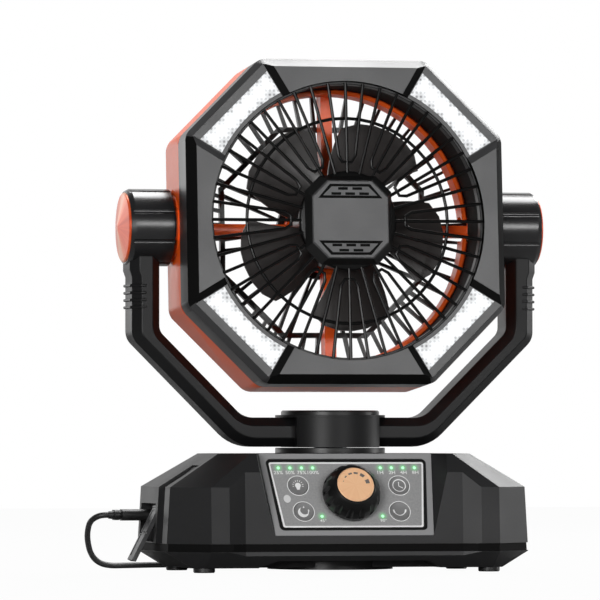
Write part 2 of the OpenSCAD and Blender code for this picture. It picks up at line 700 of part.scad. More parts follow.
coil_mid = [-52, 92];
coil_r = 21.6;
coil_w = 2 * cord_d;
coil_h = 3 * cord_d;
lead_points = [
    [lead_x, plug_y, plug_z], [lead_x - 2, plug_y, plug_z], [-138.2, 21, 33.3], [-141, 23.6, 31.8],
    [-142.6, 27.6, 29.4], [-142.8, 32.5, 26], [-142, 39, 21], [-140, 46, 15.8], [-137, 54, 10.8],
    [-132.5, 62.5, 6.4], [-126.5, 71, 3.4], [-118.5, 79.5, 2], [-109, 87.5, 1.8], [-97, 94.6, 1.8],
    [-85.5, 100.2, 1.8], [-75.1, 105.6, 1.8]
];
lead_sides = 8;
function along(i) = unit(lead_points[min(i + 1, len(lead_points) - 1)] - lead_points[max(i - 1, 0)]);
function side_of(v) = unit(cross(v, [0, 0, 1]));
module charge_cable() {
    color("#141414") loft([for (i = [0:len(lead_points) - 1])
        let (v = along(i), s = side_of(v), u = cross(s, v))
        [for (k = [0:lead_sides - 1]) lead_points[i]
            + cord_d / 2 * (s * sin(k * 360 / lead_sides) + u * cos(k * 360 / lead_sides))]]);
}
module cable_coil() {
    color("#141414") translate([coil_mid[0], coil_mid[1], 0]) difference() {
        cylinder(r = coil_r + coil_w / 2, h = coil_h, $fn = fine);
        translate([0, 0, -1]) cylinder(r = coil_r - coil_w / 2, h = coil_h + 2, $fn = fine);
    }
}
tie_w = 9;
tie_in = 0.9;
tie_out = 0.4;
module cable_tie() {
    t = 1.2;
    deep = coil_w + tie_in + tie_out;
    color("#1d1d1d") translate([coil_mid[0] + coil_r - coil_w / 2 - tie_in, coil_mid[1] - tie_w / 2, 0]) difference() {
        translate([-t, 0, 0]) cube([deep + 2 * t, tie_w, coil_h + t]);
        translate([0, -1, -1]) cube([deep, tie_w + 2, coil_h + 1.05]);
    }
}
usb_len = 22;
usb_w = 15.5;
usb_h = 7.6;
module usb_plug() {
    color("#161616") translate([coil_mid[0] + coil_r + coil_w / 2 + 1.7, coil_mid[1] - 6, 0])
        rotate([0, 0, -12]) {
            cube([usb_w, usb_len, usb_h]);
            translate([(usb_w - 12) / 2, -12, (usb_h - 4.5) / 2]) cube([12, 12.1, 4.5]);
        }
}

// ---- Yoke ----

hub_low_z = base_top_z + collar_t + seat_gap;
// Outer and inner corner of the yoke's outline at each bend, drawn in by c
function yoke_bends(c, top) = let (d = c * sqrt(2)) [
    [[arm_out_x - c, top], [arm_in_x + c, top]],
    [[arm_out_x - c, arm_out_x - c - diagonal_out + d], [arm_in_x + c, arm_in_x + c - diagonal_in - d]],
    [[yoke_low_z + c + diagonal_out - d, yoke_low_z + c], [bar_top_z - c + diagonal_in + d, bar_top_z - c]]
];
// Chamfered section of the yoke across one of its bends
function yoke_section(k, side, top) = let (
    full = yoke_bends(0, top)[k], small = yoke_bends(arm_chamfer, top)[k],
    half = arm_depth / 2, flat = half - arm_chamfer,
    places = [[small[0], -half], [full[0], -flat], [full[0], flat], [small[0], half],
        [small[1], half], [full[1], flat], [full[1], -flat], [small[1], -half]]
) [for (p = places) [side * p[0][0], p[1], p[0][1]]];
rib_pitch = 4.3;
module yoke_frame() {
    top = pivot_z - pivot_d / 2 + 8;
    color("#2a2a2a") difference() {
        union() {
            loft([for (k = [0:2]) yoke_section(k, -1, top), for (k = [2:-1:0]) yoke_section(k, 1, top)]);
            for (side = [-1, 1], k = [0:3]) translate([side * (arm_out_x - 1), 0, pivot_z - pivot_d / 2 - 24 - k * rib_pitch])
                cube([4.4, arm_depth - 2 * arm_chamfer - 2, 1.7], center = true);
        }
        translate([0, 0, pivot_z]) rotate([0, 90, 0]) cylinder(d = pivot_d, h = 3 * arm_out_x, center = true, $fn = fine);
        cylinder(d = shaft_d, h = 2 * bar_top_z, $fn = fine);
    }
}

rim_len = 2.6;
module on_pivot(side) {
    translate([side * pivot_in_x, 0, pivot_z]) rotate([0, side * 90, 0]) children();
}
module pivot_housing(side) {
    r = pivot_d / 2;
    color("#1e1e1e") on_pivot(side) difference() {
        rotate_extrude($fn = fine) polygon([
            [trunnion_d / 2 + run_gap, 0], [r - 0.8, 0], [r, 0.8], [r, housing_len],
            [pivot_cap_d / 2 + 0.9, housing_len + rim_len], [pivot_cap_d / 2 + 0.1, housing_len + rim_len],
            [pivot_cap_d / 2 + 0.1, housing_len], [r - housing_wall, housing_len],
            [r - housing_wall, housing_wall], [trunnion_d / 2 + run_gap, housing_wall]
        ]);
        for (i = [0:7]) rotate([0, 0, 22.5 + 45 * i]) translate([r + 1.1, 0, -1])
            cylinder(r = 1.8, h = housing_len + rim_len + 2, $fn = 16);
    }
}
module left_pivot_housing() { pivot_housing(-1); }
module right_pivot_housing() { pivot_housing(1); }
module pivot_cap(side) {
    r = pivot_cap_d / 2;
    color("#f0683c") on_pivot(side) translate([0, 0, housing_len]) rotate_extrude($fn = fine)
        polygon([[0, 0.05], [r, 0.05], [r, rim_len + 0.6], [r - 0.8, rim_len + 1.2], [1.5, rim_len + 4.4], [0, rim_len + 4.4]]);
}
module left_pivot_cap() { pivot_cap(-1); }
module right_pivot_cap() { pivot_cap(1); }

module swivel_hub() {
    color("#1c1c1c") difference() {
        union() {
            intersection() {
                translate([0, 0, hub_low_z]) cylinder(d = swivel_d - 0.6, h = bar_top_z - hub_low_z, $fn = fine);
                translate([-hub_half_x, -swivel_d, 0]) cube([2 * hub_half_x, 2 * swivel_d, 2 * bar_top_z]);
            }
            translate([0, 0, bar_top_z]) cylinder(d = swivel_d, h = hub_flange_t, $fn = fine);
        }
        translate([-swivel_d, -arm_depth / 2, yoke_low_z]) cube([2 * swivel_d, arm_depth, yoke_bar]);
        translate([0, 0, 1]) cylinder(d = shaft_d, h = bar_top_z - 1, $fn = fine);
    }
}
hub_cap_h = 2.8;
module hub_cap() {
    color("#262626") translate([0, 0, bar_top_z + hub_flange_t]) {
        cylinder(d = hub_cap_d, h = hub_cap_h - 0.8, $fn = fine);
        translate([0, 0, hub_cap_h - 0.8]) cylinder(d1 = hub_cap_d, d2 = hub_cap_d - 1.6, h = 0.8, $fn = fine);
    }
}
module swivel_shaft() {
    neck_z = gear_top_z + 0.5;
    color("#b0b4b8") {
        translate([0, 0, neck_z]) cylinder(d = shaft_d, h = bar_top_z - neck_z, $fn = fine);
        translate([0, 0, gear_top_z - 13]) cylinder(d = shaft_d - 8, h = 14, $fn = fine);
    }
}

// ---- Head ----

module head_frame() {
    translate([0, 0, pivot_z]) rotate([90 - head_tilt, 0, 0]) children();
}
// Octagonal outline of the head, drawn in by t on every side
function head_outline(t) = let (half = head_half - t)
    octagon(half, (slant_half - t) * sqrt(2) - half);
function swap(p) = [p[1], p[0]];

lens_end = unit([flat_half, face_half] - lens_in);
lens_side = [-lens_end[1], lens_end[0]];
function lamp_plan(grow) = let (
    a = lens_in - lens_end * 18 + lens_side * grow, b = [flat_half, face_half] + lens_end * 18 + lens_side * grow
) [a, swap(a), swap(b), b];
lens_r = aperture_r + 2.5;
lens_angle = 62.2;
function lens_plan(g) = let (out = [flat_half - 1.2 - g / 3, face_half - 3 + g]) concat(
    [for (i = [0:7]) let (a = lens_angle + g / 2 - i * (2 * lens_angle - 90 + g) / 7) (lens_r - g) * [cos(a), sin(a)]],
    [swap(out), out]
);
lens_t = 4.4;
lens_f = face_f - lamp_recess + 0.7;
face_t = 2.5;
tunnel_back_f = 8;
module four_corners() {
    for (i = [0:3]) rotate([0, 0, i * 90]) children();
}
module head_bezel() {
    hollow_f = face_f - lamp_recess - face_t;
    color("#4a4a4a") head_frame() difference() {
        union() {
            difference() {
                loft([at_z(head_outline(0), bezel_back_f), at_z(head_outline(0), face_f - face_chamfer_f),
                    at_z(head_outline(face_chamfer), face_f)]);
                loft([at_z(head_outline(head_wall), bezel_back_f - 1), at_z(head_outline(head_wall), face_f - face_chamfer_f - 1),
                    at_z(head_outline(head_wall + 3.2), hollow_f)]);
            }
            translate([0, 0, tunnel_back_f]) cylinder(r = aperture_r + head_wall, h = hollow_f - tunnel_back_f + 0.5, $fn = 2 * fine);
        }
        translate([0, 0, -50]) cylinder(r = aperture_r, h = 200, $fn = 2 * fine);
        four_corners() {
            loft([at_z(lamp_plan(0), face_f - lamp_recess), at_z(lamp_plan(lens_band), face_f + 0.1)]);
            translate([0, 0, hollow_f - 1]) linear_extrude(face_t + 2) polygon(lens_plan(0.1));
        }
    }
}
module light_lenses() {
    color("#f4f6f8") head_frame() four_corners() translate([0, 0, lens_f - lens_t])
        linear_extrude(lens_t) polygon(lens_plan(0));
}
led_board_t = 1.6;
module light_boards() {
    color("#e8e8e0") head_frame() four_corners() translate([0, 0, lens_f - lens_t - seat_gap - led_board_t])
        linear_extrude(led_board_t) polygon(lens_plan(-0.4));
}

flange_f = -5;
flange_t = 2.5;
pad_r = bezel_back_f - seat_gap;
pad_t = pivot_in_x - head_half - seat_gap;
module head_shroud() {
    color("#e8501a") difference() {
        union() {
            head_frame() {
                difference() {
                    loft([at_z(head_outline(3.4), shroud_back_f), at_z(head_outline(1.4), shroud_back_f + 0.9),
                        at_z(head_outline(0.3), shroud_back_f + 2.6), at_z(head_outline(0), shroud_back_f + 5),
                        at_z(head_outline(0), bezel_back_f)]);
                    loft([at_z(head_outline(head_wall + 3), shroud_back_f - 1), at_z(head_outline(head_wall + 0.4), shroud_back_f + 3),
                        at_z(head_outline(head_wall), shroud_back_f + 6), at_z(head_outline(head_wall), bezel_back_f + 1)]);
                }
                translate([0, 0, flange_f]) difference() {
                    union() {
                        loft([at_z(head_outline(head_wall - 0.5), 0), at_z(head_outline(head_wall - 0.5), flange_t)]);
                        cylinder(r = ring_r + 2.4, h = tunnel_back_f - 1 - flange_f, $fn = 2 * fine);
                    }
                    translate([0, 0, -1]) cylinder(r = ring_r, h = 40, $fn = 2 * fine);
                }
                for (i = [0:3]) rotate([0, 0, i * 90]) translate([motor_d / 2 + 2, -spoke_w / 2, spoke_f - spoke_deep])
                    cube([ring_r - motor_d / 2 + 6, spoke_w, spoke_deep]);
                translate([0, 0, motor_back_f - 3]) cylinder(d = motor_d + 2 * head_wall + 0.2, h = 10, $fn = fine);
                for (i = [0:3]) rotate([0, 0, 45 + i * 90]) translate([screw_ring_r, 0, shroud_back_f])
                    cylinder(d = 8, h = flange_f - shroud_back_f + 1, $fn = 32);
            }
            for (side = [-1, 1]) translate([side * head_half, 0, pivot_z]) rotate([0, side * 90, 0]) {
                translate([0, 0, -0.5]) cylinder(r = pad_r, h = pad_t + 0.5, $fn = fine);
                translate([0, 0, -9]) cylinder(d = trunnion_d + 7, h = 10, $fn = fine);
            }
        }
        head_frame() {
            translate([0, 0, motor_back_f]) cylinder(d = motor_d + 0.2, h = 60, $fn = fine);
            for (i = [0:3]) rotate([0, 0, 45 + i * 90]) translate([screw_ring_r, 0, shroud_back_f - 1])
                cylinder(d = screw_d, h = 10, $fn = 24);
            translate([0, 0, motor_back_f - 4]) cylinder(d = 10, h = 5, $fn = 32);
        }
        translate([0, 0, pivot_z]) rotate([0, 90, 0]) cylinder(d = trunnion_d, h = 3 * head_half, center = true, $fn = fine);
    }
}
screw_ring_r = slant_half - 12.85;
motor_back_f = -11;
motor_len = 22;

// Trunnion fixed in the head, with the washer that keeps it in its housing
module trunnion(side) {
    color("#9a9ea2") on_pivot(side) {
        translate([0, 0, -12]) cylinder(d = trunnion_d, h = 12 + housing_wall + 8, $fn = fine);
        translate([0, 0, housing_wall + 0.2]) ring(trunnion_d + 12, trunnion_d - 1, 2);
    }
}
module left_trunnion() { trunnion(-1); }
module right_trunnion() { trunnion(1); }

module head_screws() {
    color("#8a8a8a") head_frame() translate([0, 0, shroud_back_f - guard_t]) at_screws() {
        translate([0, 0, -1.6]) cylinder(d = 5.6, h = 1.6, $fn = 32);
        cylinder(d = screw_d, h = guard_t + 8, $fn = 24);
    }
}

// ---- Grilles ----

wire_end_r = aperture_r - 1;
rim_t = 1.6;
module wire(r0, r1, a = 0) {
    rotate(a) translate([r0, -wire_w / 2]) square([r1 - r0, wire_w]);
}
module link(p, q) {
    translate(p) rotate(atan2(q[1] - p[1], q[0] - p[0])) translate([0, -wire_w / 2]) square([norm(q - p), wire_w]);
}
module grille_loop(pitch) {
    leg = 42.5 * [cos(pitch), sin(pitch)];
    knee = [37.6, 4.4];
    tip = [35.2, 1.9];
    for (side = [-1, 1]) {
        wire(42, wire_end_r, side * pitch);
        link([leg[0], side * leg[1]], [knee[0], side * knee[1]]);
        link([knee[0], side * knee[1]], [tip[0], side * tip[1]]);
        for (p = [leg, knee, tip]) translate([p[0], side * p[1]]) circle(d = wire_w, $fn = 8);
    }
    link([tip[0], -tip[1]], tip);
}
module front_grille() {
    step = 360 / loop_count;
    color("#1a1a1a") head_frame() translate([0, 0, grille_f]) {
        linear_extrude(grille_t) for (i = [0:loop_count - 1]) rotate(i * step) {
            grille_loop(step / 4);
            wire(hub_disc_r - 1, wire_end_r);
            wire(hub_disc_r - 1, wire_end_r, step / 2);
        }
        translate([0, 0, -6]) ring(2 * (aperture_r - 0.1), 2 * (wire_end_r - 0.7), grille_t + 5.4);
        translate([0, 0, -1.3]) ring(2 * (ring_wire_r + 0.8), 2 * (ring_wire_r - 0.8), 1.5);
        translate([0, 0, -2.4]) cylinder(r = hub_disc_r, h = 3.4, $fn = fine);
        translate([0, 0, 1]) cylinder(r1 = hub_disc_r, r2 = hub_disc_r - 1.4, h = 0.8, $fn = fine);
    }
}

badge_f = grille_f + 1.8;
badge_skirt = 3.3;
badge_rise = 4.7;
function badge_outline(half) = octagon(half, half - 9.5);
module badge_slots() {
    slot_w = 1.1;
    y = badge_half - 8;
    for (flip = [0, 1]) mirror([0, flip]) {
        for (k = [-1, 1]) translate([k * 4.4, y + 3.1]) square([5.6, slot_w], center = true);
        for (k = [-1, 0, 1]) translate([k * 8.6, y]) square([5.6, slot_w], center = true);
        difference() {
            polygon([[-19, y - 2.2], [19, y - 2.2], [12, y + 5.4], [-12, y + 5.4]]);
            polygon([[-17.2, y - 1.4], [17.2, y - 1.4], [11.6, y + 4.6], [-11.6, y + 4.6]]);
        }
    }
}
module grille_badge() {
    color("#5e5e5e") head_frame() translate([0, 0, badge_f]) difference() {
        loft([at_z(badge_outline(badge_half + badge_skirt), 0), at_z(badge_outline(badge_half), badge_rise),
            at_z(badge_outline(badge_half - 0.7), badge_rise + 0.6)]);
        translate([0, 0, badge_rise]) linear_extrude(2) badge_slots();
    }
}

guard_t = 2.5;
// Distance from the middle to a flat of an even octagon, at angle a
function to_flat(a, half) = half / cos((a + 22.5) % 45 - 22.5);
// The same for the head's own outline drawn in by t, whose slanted flats lie further out
function to_outline(a, t) = min((head_half - t) / max(abs(cos(a)), abs(sin(a))), (slant_half - t) / cos(a % 90 - 45));
module rear_guard_ribs() {
    count = 4 * loop_count;
    for (i = [0:count - 1]) let (a = (i + 0.5) * 360 / count)
        wire(to_flat(a, rear_ring_half), to_outline(a, 1) - 1, a);
}
// Zigzag of struts between the motor cover and the octagonal ring
module rear_guard_struts() {
    n = 2 * loop_count;
    inner = motor_d / 2 + 5;
    for (i = [0:n - 1]) let (a = i * 360 / n, b = (i + (i % 2 == 0 ? 0.3 : -0.3)) * 360 / n)
        link(inner * [cos(a), sin(a)], to_flat(b, rear_ring_half) * [cos(b), sin(b)]);
}
module at_screws() {
    for (i = [0:3]) rotate([0, 0, 45 + i * 90]) translate([screw_ring_r, 0, 0]) children();
}
module rear_guard() {
    rim = 9;
    boss = 4.4;
    color("#1a1a1a") head_frame() translate([0, 0, shroud_back_f - guard_t]) difference() {
        union() {
            linear_extrude(guard_t) {
                difference() {
                    polygon(head_outline(3.4));
                    polygon(head_outline(rim));
                }
                rear_guard_ribs();
                difference() {
                    polygon(octagon(rear_ring_half + 1.2, (rear_ring_half + 1.2) * tan(22.5)));
                    polygon(octagon(rear_ring_half - 1.2, (rear_ring_half - 1.2) * tan(22.5)));
                }
                rear_guard_struts();
                at_screws() square(2 * boss, center = true);
            }
            cylinder(r = motor_d / 2 + 6, h = guard_t + 1.9, $fn = fine);
        }
        at_screws() translate([0, 0, -1]) cylinder(d = screw_d + 0.2, h = 9, $fn = 24);
    }
}

// ---- Motor and blades ----

motor_front_f = motor_back_f + motor_len;
module fan_motor() {
    color("#70757a") head_frame() difference() {
        union() {
            translate([0, 0, motor_back_f]) cylinder(d = motor_d, h = motor_len - 2, $fn = fine);
            translate([0, 0, motor_front_f - 2]) cylinder(d1 = motor_d, d2 = motor_d - 4, h = 2, $fn = fine);
            translate([0, 0, motor_back_f - 3.5]) cylinder(d = 9.6, h = 4, $fn = 32);
        }
        translate([0, 0, motor_back_f - 1]) cylinder(d = motor_shaft_d + 2 * run_gap, h = motor_len + 2, $fn = fine);
    }
}
hub_back_f = motor_front_f + 1;
hub_front_f = 34;
module fan_shaft() {
    color("#c4c8cc") head_frame() translate([0, 0, motor_back_f]) cylinder(d = motor_shaft_d, h = hub_front_f - 3.5 - motor_back_f, $fn = fine);
}

// One blade: sections along the radius, each a thin bowed strip of the chord
blade_t = 1.7;
blade_rows = 7;
blade_cols = 6;
function strip(a, b, c, d) = [[a, b, c], [a, c, d]];
blade_half_w = 29;
function blade_rise(u) = 9.4 - 2.6 * u;
function blade_point(u, s, up) = let (
    reach = 1 - 0.13 * pow(abs(s), 3) - (s < 0 ? 0.05 * s * s : 0),
    r = blade_hub_r - 1.2 + (blade_r - blade_hub_r + 1.2) * u * reach,
    a = s * (blade_half_w - 3 * u) - 12 * u
) [r * cos(a), r * sin(a), -s * blade_rise(u) + 2.2 * (1 - s * s) + up * blade_t / 2];
module blade() {
    across = blade_cols + 1;
    ends = blade_rows * 2 * across;
    polyhedron(
        points = [for (i = [0:blade_rows], up = [-1, 1], k = [0:blade_cols])
            blade_point(i / blade_rows, 2 * k / blade_cols - 1, up)],
        faces = concat(
            [for (k = [0:blade_cols - 1]) each strip(k, k + 1, across + k + 1, across + k)],
            [for (k = [0:blade_cols - 1]) each strip(ends + k, ends + across + k, ends + across + k + 1, ends + k + 1)],
            [for (i = [0:blade_rows - 1]) let (a = i * 2 * across, b = a + 2 * across) each concat(
                [for (k = [0:blade_cols - 1]) each strip(a + k, b + k, b + k + 1, a + k + 1)],
                [for (k = [0:blade_cols - 1]) each strip(a + across + k, a + across + k + 1, b + across + k + 1, b + across + k)],
                strip(a, a + across, b + across, b),
                strip(a + blade_cols, b + blade_cols, b + across + blade_cols, a + across + blade_cols)
            )]
        )
    );
}
module impeller() {
    color("#3a3836") head_frame() {
        difference() {
            rotate_extrude($fn = 2 * fine) polygon([
                [0, hub_back_f + 2], [motor_shaft_d / 2 + 4, hub_back_f + 2], [motor_shaft_d / 2 + 4, hub_front_f - 2.5],
                [blade_hub_r - 4, hub_front_f - 2.5], [blade_hub_r - 2, hub_front_f - 4.5], [blade_hub_r - 2, hub_back_f],
                [blade_hub_r, hub_back_f], [blade_hub_r, hub_front_f - 5], [blade_hub_r - 3, hub_front_f - 1],
                [blade_hub_r - 7, hub_front_f], [0, hub_front_f]
            ]);
            translate([0, 0, hub_back_f]) cylinder(d = motor_shaft_d, h = hub_front_f - 3.5 - hub_back_f, $fn = fine);
        }
        for (i = [0:blade_count - 1]) rotate([0, 0, i * 360 / blade_count]) translate([0, 0, blade_f]) blade();
    }
}

// ---- Nodes ----

base_lower_shell();
base_upper_shell();
rubber_feet();
base_screws();
panel_frame();
panel_overlay();
receiver_window();
panel_lights();
control_board();
button_switches();
knob_encoder();
battery_cells();
battery_holder();
charge_socket();
output_socket();
port_board();
swing_gearmotor();
swivel_collar();
hook_plate();
hook_pin();
plate_screws();
hanging_hook();
flap_pin();
port_flap();
knob_grip();
knob_cap();
knob_shaft();
light_button();
night_button();
timer_button();
swing_button();
yoke_frame();
swivel_hub();
hub_cap();
swivel_shaft();
left_pivot_housing();
right_pivot_housing();
left_pivot_cap();
right_pivot_cap();
head_bezel();
head_shroud();
light_lenses();
light_boards();
front_grille();
grille_badge();
rear_guard();
fan_motor();
left_trunnion();
right_trunnion();
head_screws();
impeller();
fan_shaft();
charge_plug();
charge_cable();
cable_coil();
cable_tie();
usb_plug();
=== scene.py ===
from math import cos, degrees, pi, radians, sin, tan

import bmesh
import bpy
from mathutils import Matrix, Vector


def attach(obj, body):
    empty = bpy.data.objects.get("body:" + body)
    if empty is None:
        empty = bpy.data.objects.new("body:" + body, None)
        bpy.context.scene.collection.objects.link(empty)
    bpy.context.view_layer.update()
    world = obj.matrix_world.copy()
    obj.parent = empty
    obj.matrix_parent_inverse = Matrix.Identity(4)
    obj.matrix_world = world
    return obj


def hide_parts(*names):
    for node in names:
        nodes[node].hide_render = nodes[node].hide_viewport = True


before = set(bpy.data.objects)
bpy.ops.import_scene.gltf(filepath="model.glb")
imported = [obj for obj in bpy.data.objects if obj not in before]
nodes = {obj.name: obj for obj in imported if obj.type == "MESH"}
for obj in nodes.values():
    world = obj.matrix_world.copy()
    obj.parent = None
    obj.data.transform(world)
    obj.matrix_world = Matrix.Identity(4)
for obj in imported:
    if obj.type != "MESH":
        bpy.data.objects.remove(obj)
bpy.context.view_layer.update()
mm = 0.001

# Own frames of the head and the panel, which several pieces share. Both lean back, and in
# both x is right, y up and z out of the face
headTilt, headMiddle = radians(90 - 4.7), (0, 0, 0.207)
headPlace = Matrix.Translation(headMiddle) @ Matrix.Rotation(headTilt, 4, "X")
panelLean, panelMiddle = radians(90 - 27), (0, -0.0495, 0.0466746)
panelPlace = Matrix.Translation(panelMiddle) @ Matrix.Rotation(panelLean, 4, "X")

# Camera
view = {"azimuth": -14, "distance": 3.7, "lens": 366, "eyeHeight": 0.084, "aim": (-0.01765, 0.0044, 0.164)}


def addObject(name, data):
    obj = bpy.data.objects.new(name, data)
    bpy.context.scene.collection.objects.link(obj)
    return obj


# Sets a camera or lamp at a place, looking at aim
def aimAt(obj, place, aim):
    obj.location = place
    obj.rotation_mode = "QUATERNION"
    obj.rotation_quaternion = (Vector(aim) - Vector(place)).to_track_quat("-Z", "Y")


def placeCamera():
    data = bpy.data.cameras.new("camera")
    data.lens = view["lens"]
    data.sensor_width = 36
    data.clip_start, data.clip_end = 0.05, 40
    camera = addObject("camera", data)
    a = radians(view["azimuth"])
    place = (view["distance"] * sin(a), -view["distance"] * cos(a), view["eyeHeight"])
    aimAt(camera, place, view["aim"])
    bpy.context.scene.camera = camera


placeCamera()
print("camera placed")


# sRGB hex to the linear colour that sockets take
def linear(hexColour):
    h = hexColour.lstrip("#")
    parts = [int(h[i:i + 2], 16) / 255 for i in (0, 2, 4)]
    return [c / 12.92 if c <= 0.04045 else ((c + 0.055) / 1.055) ** 2.4 for c in parts] + [1.0]


# Scale of a pattern whose cells are as wide as given, in mm
def scaleOf(cellMm):
    return 1 / (cellMm * mm)


# Adds one node. settings: socket or property and its value, or the stops of a ramp.
# links: input socket and the (node, output) that feeds it. feeds: the (output, node, input)
# that this node feeds in its turn
def addNode(tree, kind, settings=None, links=None, feeds=None):
    node = tree.nodes.new("ShaderNode" + kind)
    for name, value in (settings or {}).items():
        if name == "stops":
            while len(node.color_ramp.elements) < len(value):
                node.color_ramp.elements.new(0.5)
            for element, (place, colour) in zip(node.color_ramp.elements, value):
                element.position, element.color = place, linear(colour)
        elif isinstance(name, int) or name in node.inputs:
            node.inputs[name].default_value = value
        else:
            setattr(node, name, value)
    for name, (source, output) in (links or {}).items():
        tree.links.new(source.outputs[output], node.inputs[name])
    if feeds:
        output, target, socket = feeds
        tree.links.new(node.outputs[output], target.inputs[socket])
    return node


def startMaterial(name, colour, roughness, metallic=0.0, ior=1.5):
    mat = bpy.data.materials.new(name)
    mat.use_nodes = True
    bsdf = mat.node_tree.nodes["Principled BSDF"]
    bsdf.inputs["Base Color"].default_value = linear(colour)
    bsdf.inputs["Roughness"].default_value = roughness
    bsdf.inputs["Metallic"].default_value = metallic
    bsdf.inputs["IOR"].default_value = ior
    mat.diffuse_color = linear(colour)
    return mat, mat.node_tree, bsdf


# Moulded thermoplastic with a spark-eroded grain: matt and slightly mottled. A grain is
# about half of a cell of 1 mm, twice as coarse as the real 0.25 mm, so that it shows
def grainedPlastic(name, colour, roughness, depthMm=0.05, mottle=0.12, ior=1.5):
    mat, tree, bsdf = startMaterial(name, colour, roughness, ior=ior)
    coords = addNode(tree, "TexCoord")
    fine = addNode(tree, "TexNoise", {"Scale": scaleOf(1.0), "Detail": 2.0, "Roughness": 0.6},
                   {"Vector": (coords, "Object")})
    broad = addNode(tree, "TexNoise", {"Scale": scaleOf(26.3), "Detail": 4.0}, {"Vector": (coords, "Object")})
    darker, lighter = ([min(1, c * k) for c in linear(colour)[:3]] + [1] for k in (1 - mottle, 1 + mottle))
    addNode(tree, "Mix", {"data_type": "RGBA", 6: darker, 7: lighter}, {0: (fine, "Fac")},
            (2, bsdf, "Base Color"))
    addNode(tree, "MapRange", {"To Min": roughness - 0.05, "To Max": roughness + 0.07},
            {"Value": (broad, "Fac")}, ("Result", bsdf, "Roughness"))
    addNode(tree, "Bump", {"Strength": 0.35, "Distance": depthMm * mm}, {"Height": (fine, "Fac")},
            ("Normal", bsdf, "Normal"))
    return mat


# Thermoplastic rubber: dull, with a faint dusty unevenness in patches of 6 mm
def softRubber(name, colour, dusty):
    mat, tree, bsdf = startMaterial(name, colour, 0.55)
    coords = addNode(tree, "TexCoord")
    dust = addNode(tree, "TexNoise", {"Scale": scaleOf(6.25), "Detail": 5.0}, {"Vector": (coords, "Object")})
    addNode(tree, "ValToRGB", {"stops": [(0.35, colour), (0.75, dusty)]}, {"Fac": (dust, "Fac")},
            ("Color", bsdf, "Base Color"))
    addNode(tree, "MapRange", {"To Min": 0.36, "To Max": 0.56}, {"Value": (dust, "Fac")},
            ("Result", bsdf, "Roughness"))
    addNode(tree, "Bump", {"Strength": 0.2, "Distance": 0.05 * mm}, {"Height": (dust, "Fac")},
            ("Normal", bsdf, "Normal"))
    return mat


# Zinc-plated steel or a painted steel can: bright, with turning marks about 1 mm apart
def turnedMetal(name, colour, roughness):
    mat, tree, bsdf = startMaterial(name, colour, roughness, metallic=1.0)
    coords = addNode(tree, "TexCoord")
    marks = addNode(tree, "TexNoise", {"Scale": scaleOf(1.11), "Detail": 3.0}, {"Vector": (coords, "Object")})
    addNode(tree, "MapRange", {"To Min": roughness - 0.08, "To Max": roughness + 0.15},
            {"Value": (marks, "Fac")}, ("Result", bsdf, "Roughness"))
    return mat


# Lacquered aluminium spun on a lathe, with painted highlights: lighter and darker wedges, painted
# sheen for the spun surface's reflections, fan out from the disc's middle, centre, with turn as the
# disc's own rotation. spread says how many wedges there are, fan is the direction of the
# two brightest painted highlights and highlightShare how much brighter they are
def spunMetal(name, stops, centre, turn, roughness, metallic,
              spread=2.6, bumpy=0.25, fan=(1, 0, 0), highlightShare=0.0):
    mat, tree, bsdf = startMaterial(name, stops[0][1], roughness, metallic=metallic)
    coords = addNode(tree, "TexCoord")
    local = addNode(tree, "Mapping", {"vector_type": "TEXTURE", "Location": centre, "Rotation": turn},
                    {"Vector": (coords, "Object")})
    flat = addNode(tree, "VectorMath", {"operation": "MULTIPLY", 1: (1, 1, 0)}, {0: (local, "Vector")})
    ray = addNode(tree, "VectorMath", {"operation": "NORMALIZE"}, {0: (flat, "Vector")})
    sheenWedges = addNode(tree, "TexNoise", {"Scale": spread, "Detail": 9.0, "Roughness": 0.62},
                     {"Vector": (ray, "Vector")})
    # Painted highlight: the two wedges along the fan direction are made brighter in the colour
    facing = addNode(tree, "VectorMath", {"operation": "DOT_PRODUCT", 1: fan}, {0: (ray, "Vector")})
    both = addNode(tree, "Math", {"operation": "ABSOLUTE"}, {0: (facing, "Value")})
    narrow = addNode(tree, "Math", {"operation": "POWER", 1: 14.0}, {0: (both, 0)})
    lit = addNode(tree, "Math", {"operation": "MULTIPLY_ADD", "use_clamp": True, 1: highlightShare},
                  {0: (narrow, 0), 2: (sheenWedges, "Fac")})
    addNode(tree, "ValToRGB", {"stops": stops}, {"Fac": (lit, 0)}, ("Color", bsdf, "Base Color"))
    addNode(tree, "Bump", {"Strength": bumpy, "Distance": 0.05 * mm}, {"Height": (sheenWedges, "Fac")},
            ("Normal", bsdf, "Normal"))
    return mat


# Distances from the middle of the head, and along and across a lens, in mm, and strengths
lensGlow = {
    "middle": 92.2, "plain": 1.0, "rim": 5.6, "ends": (21.5, 28.5), "prism": 2.6, "ledPitch": 8.2,
    "full": 0.97, "dimRim": 0.38, "dimDots": 0.42, "dimBetweenLeds": 0.3, "dotEdge": (0.12, 0.42)}


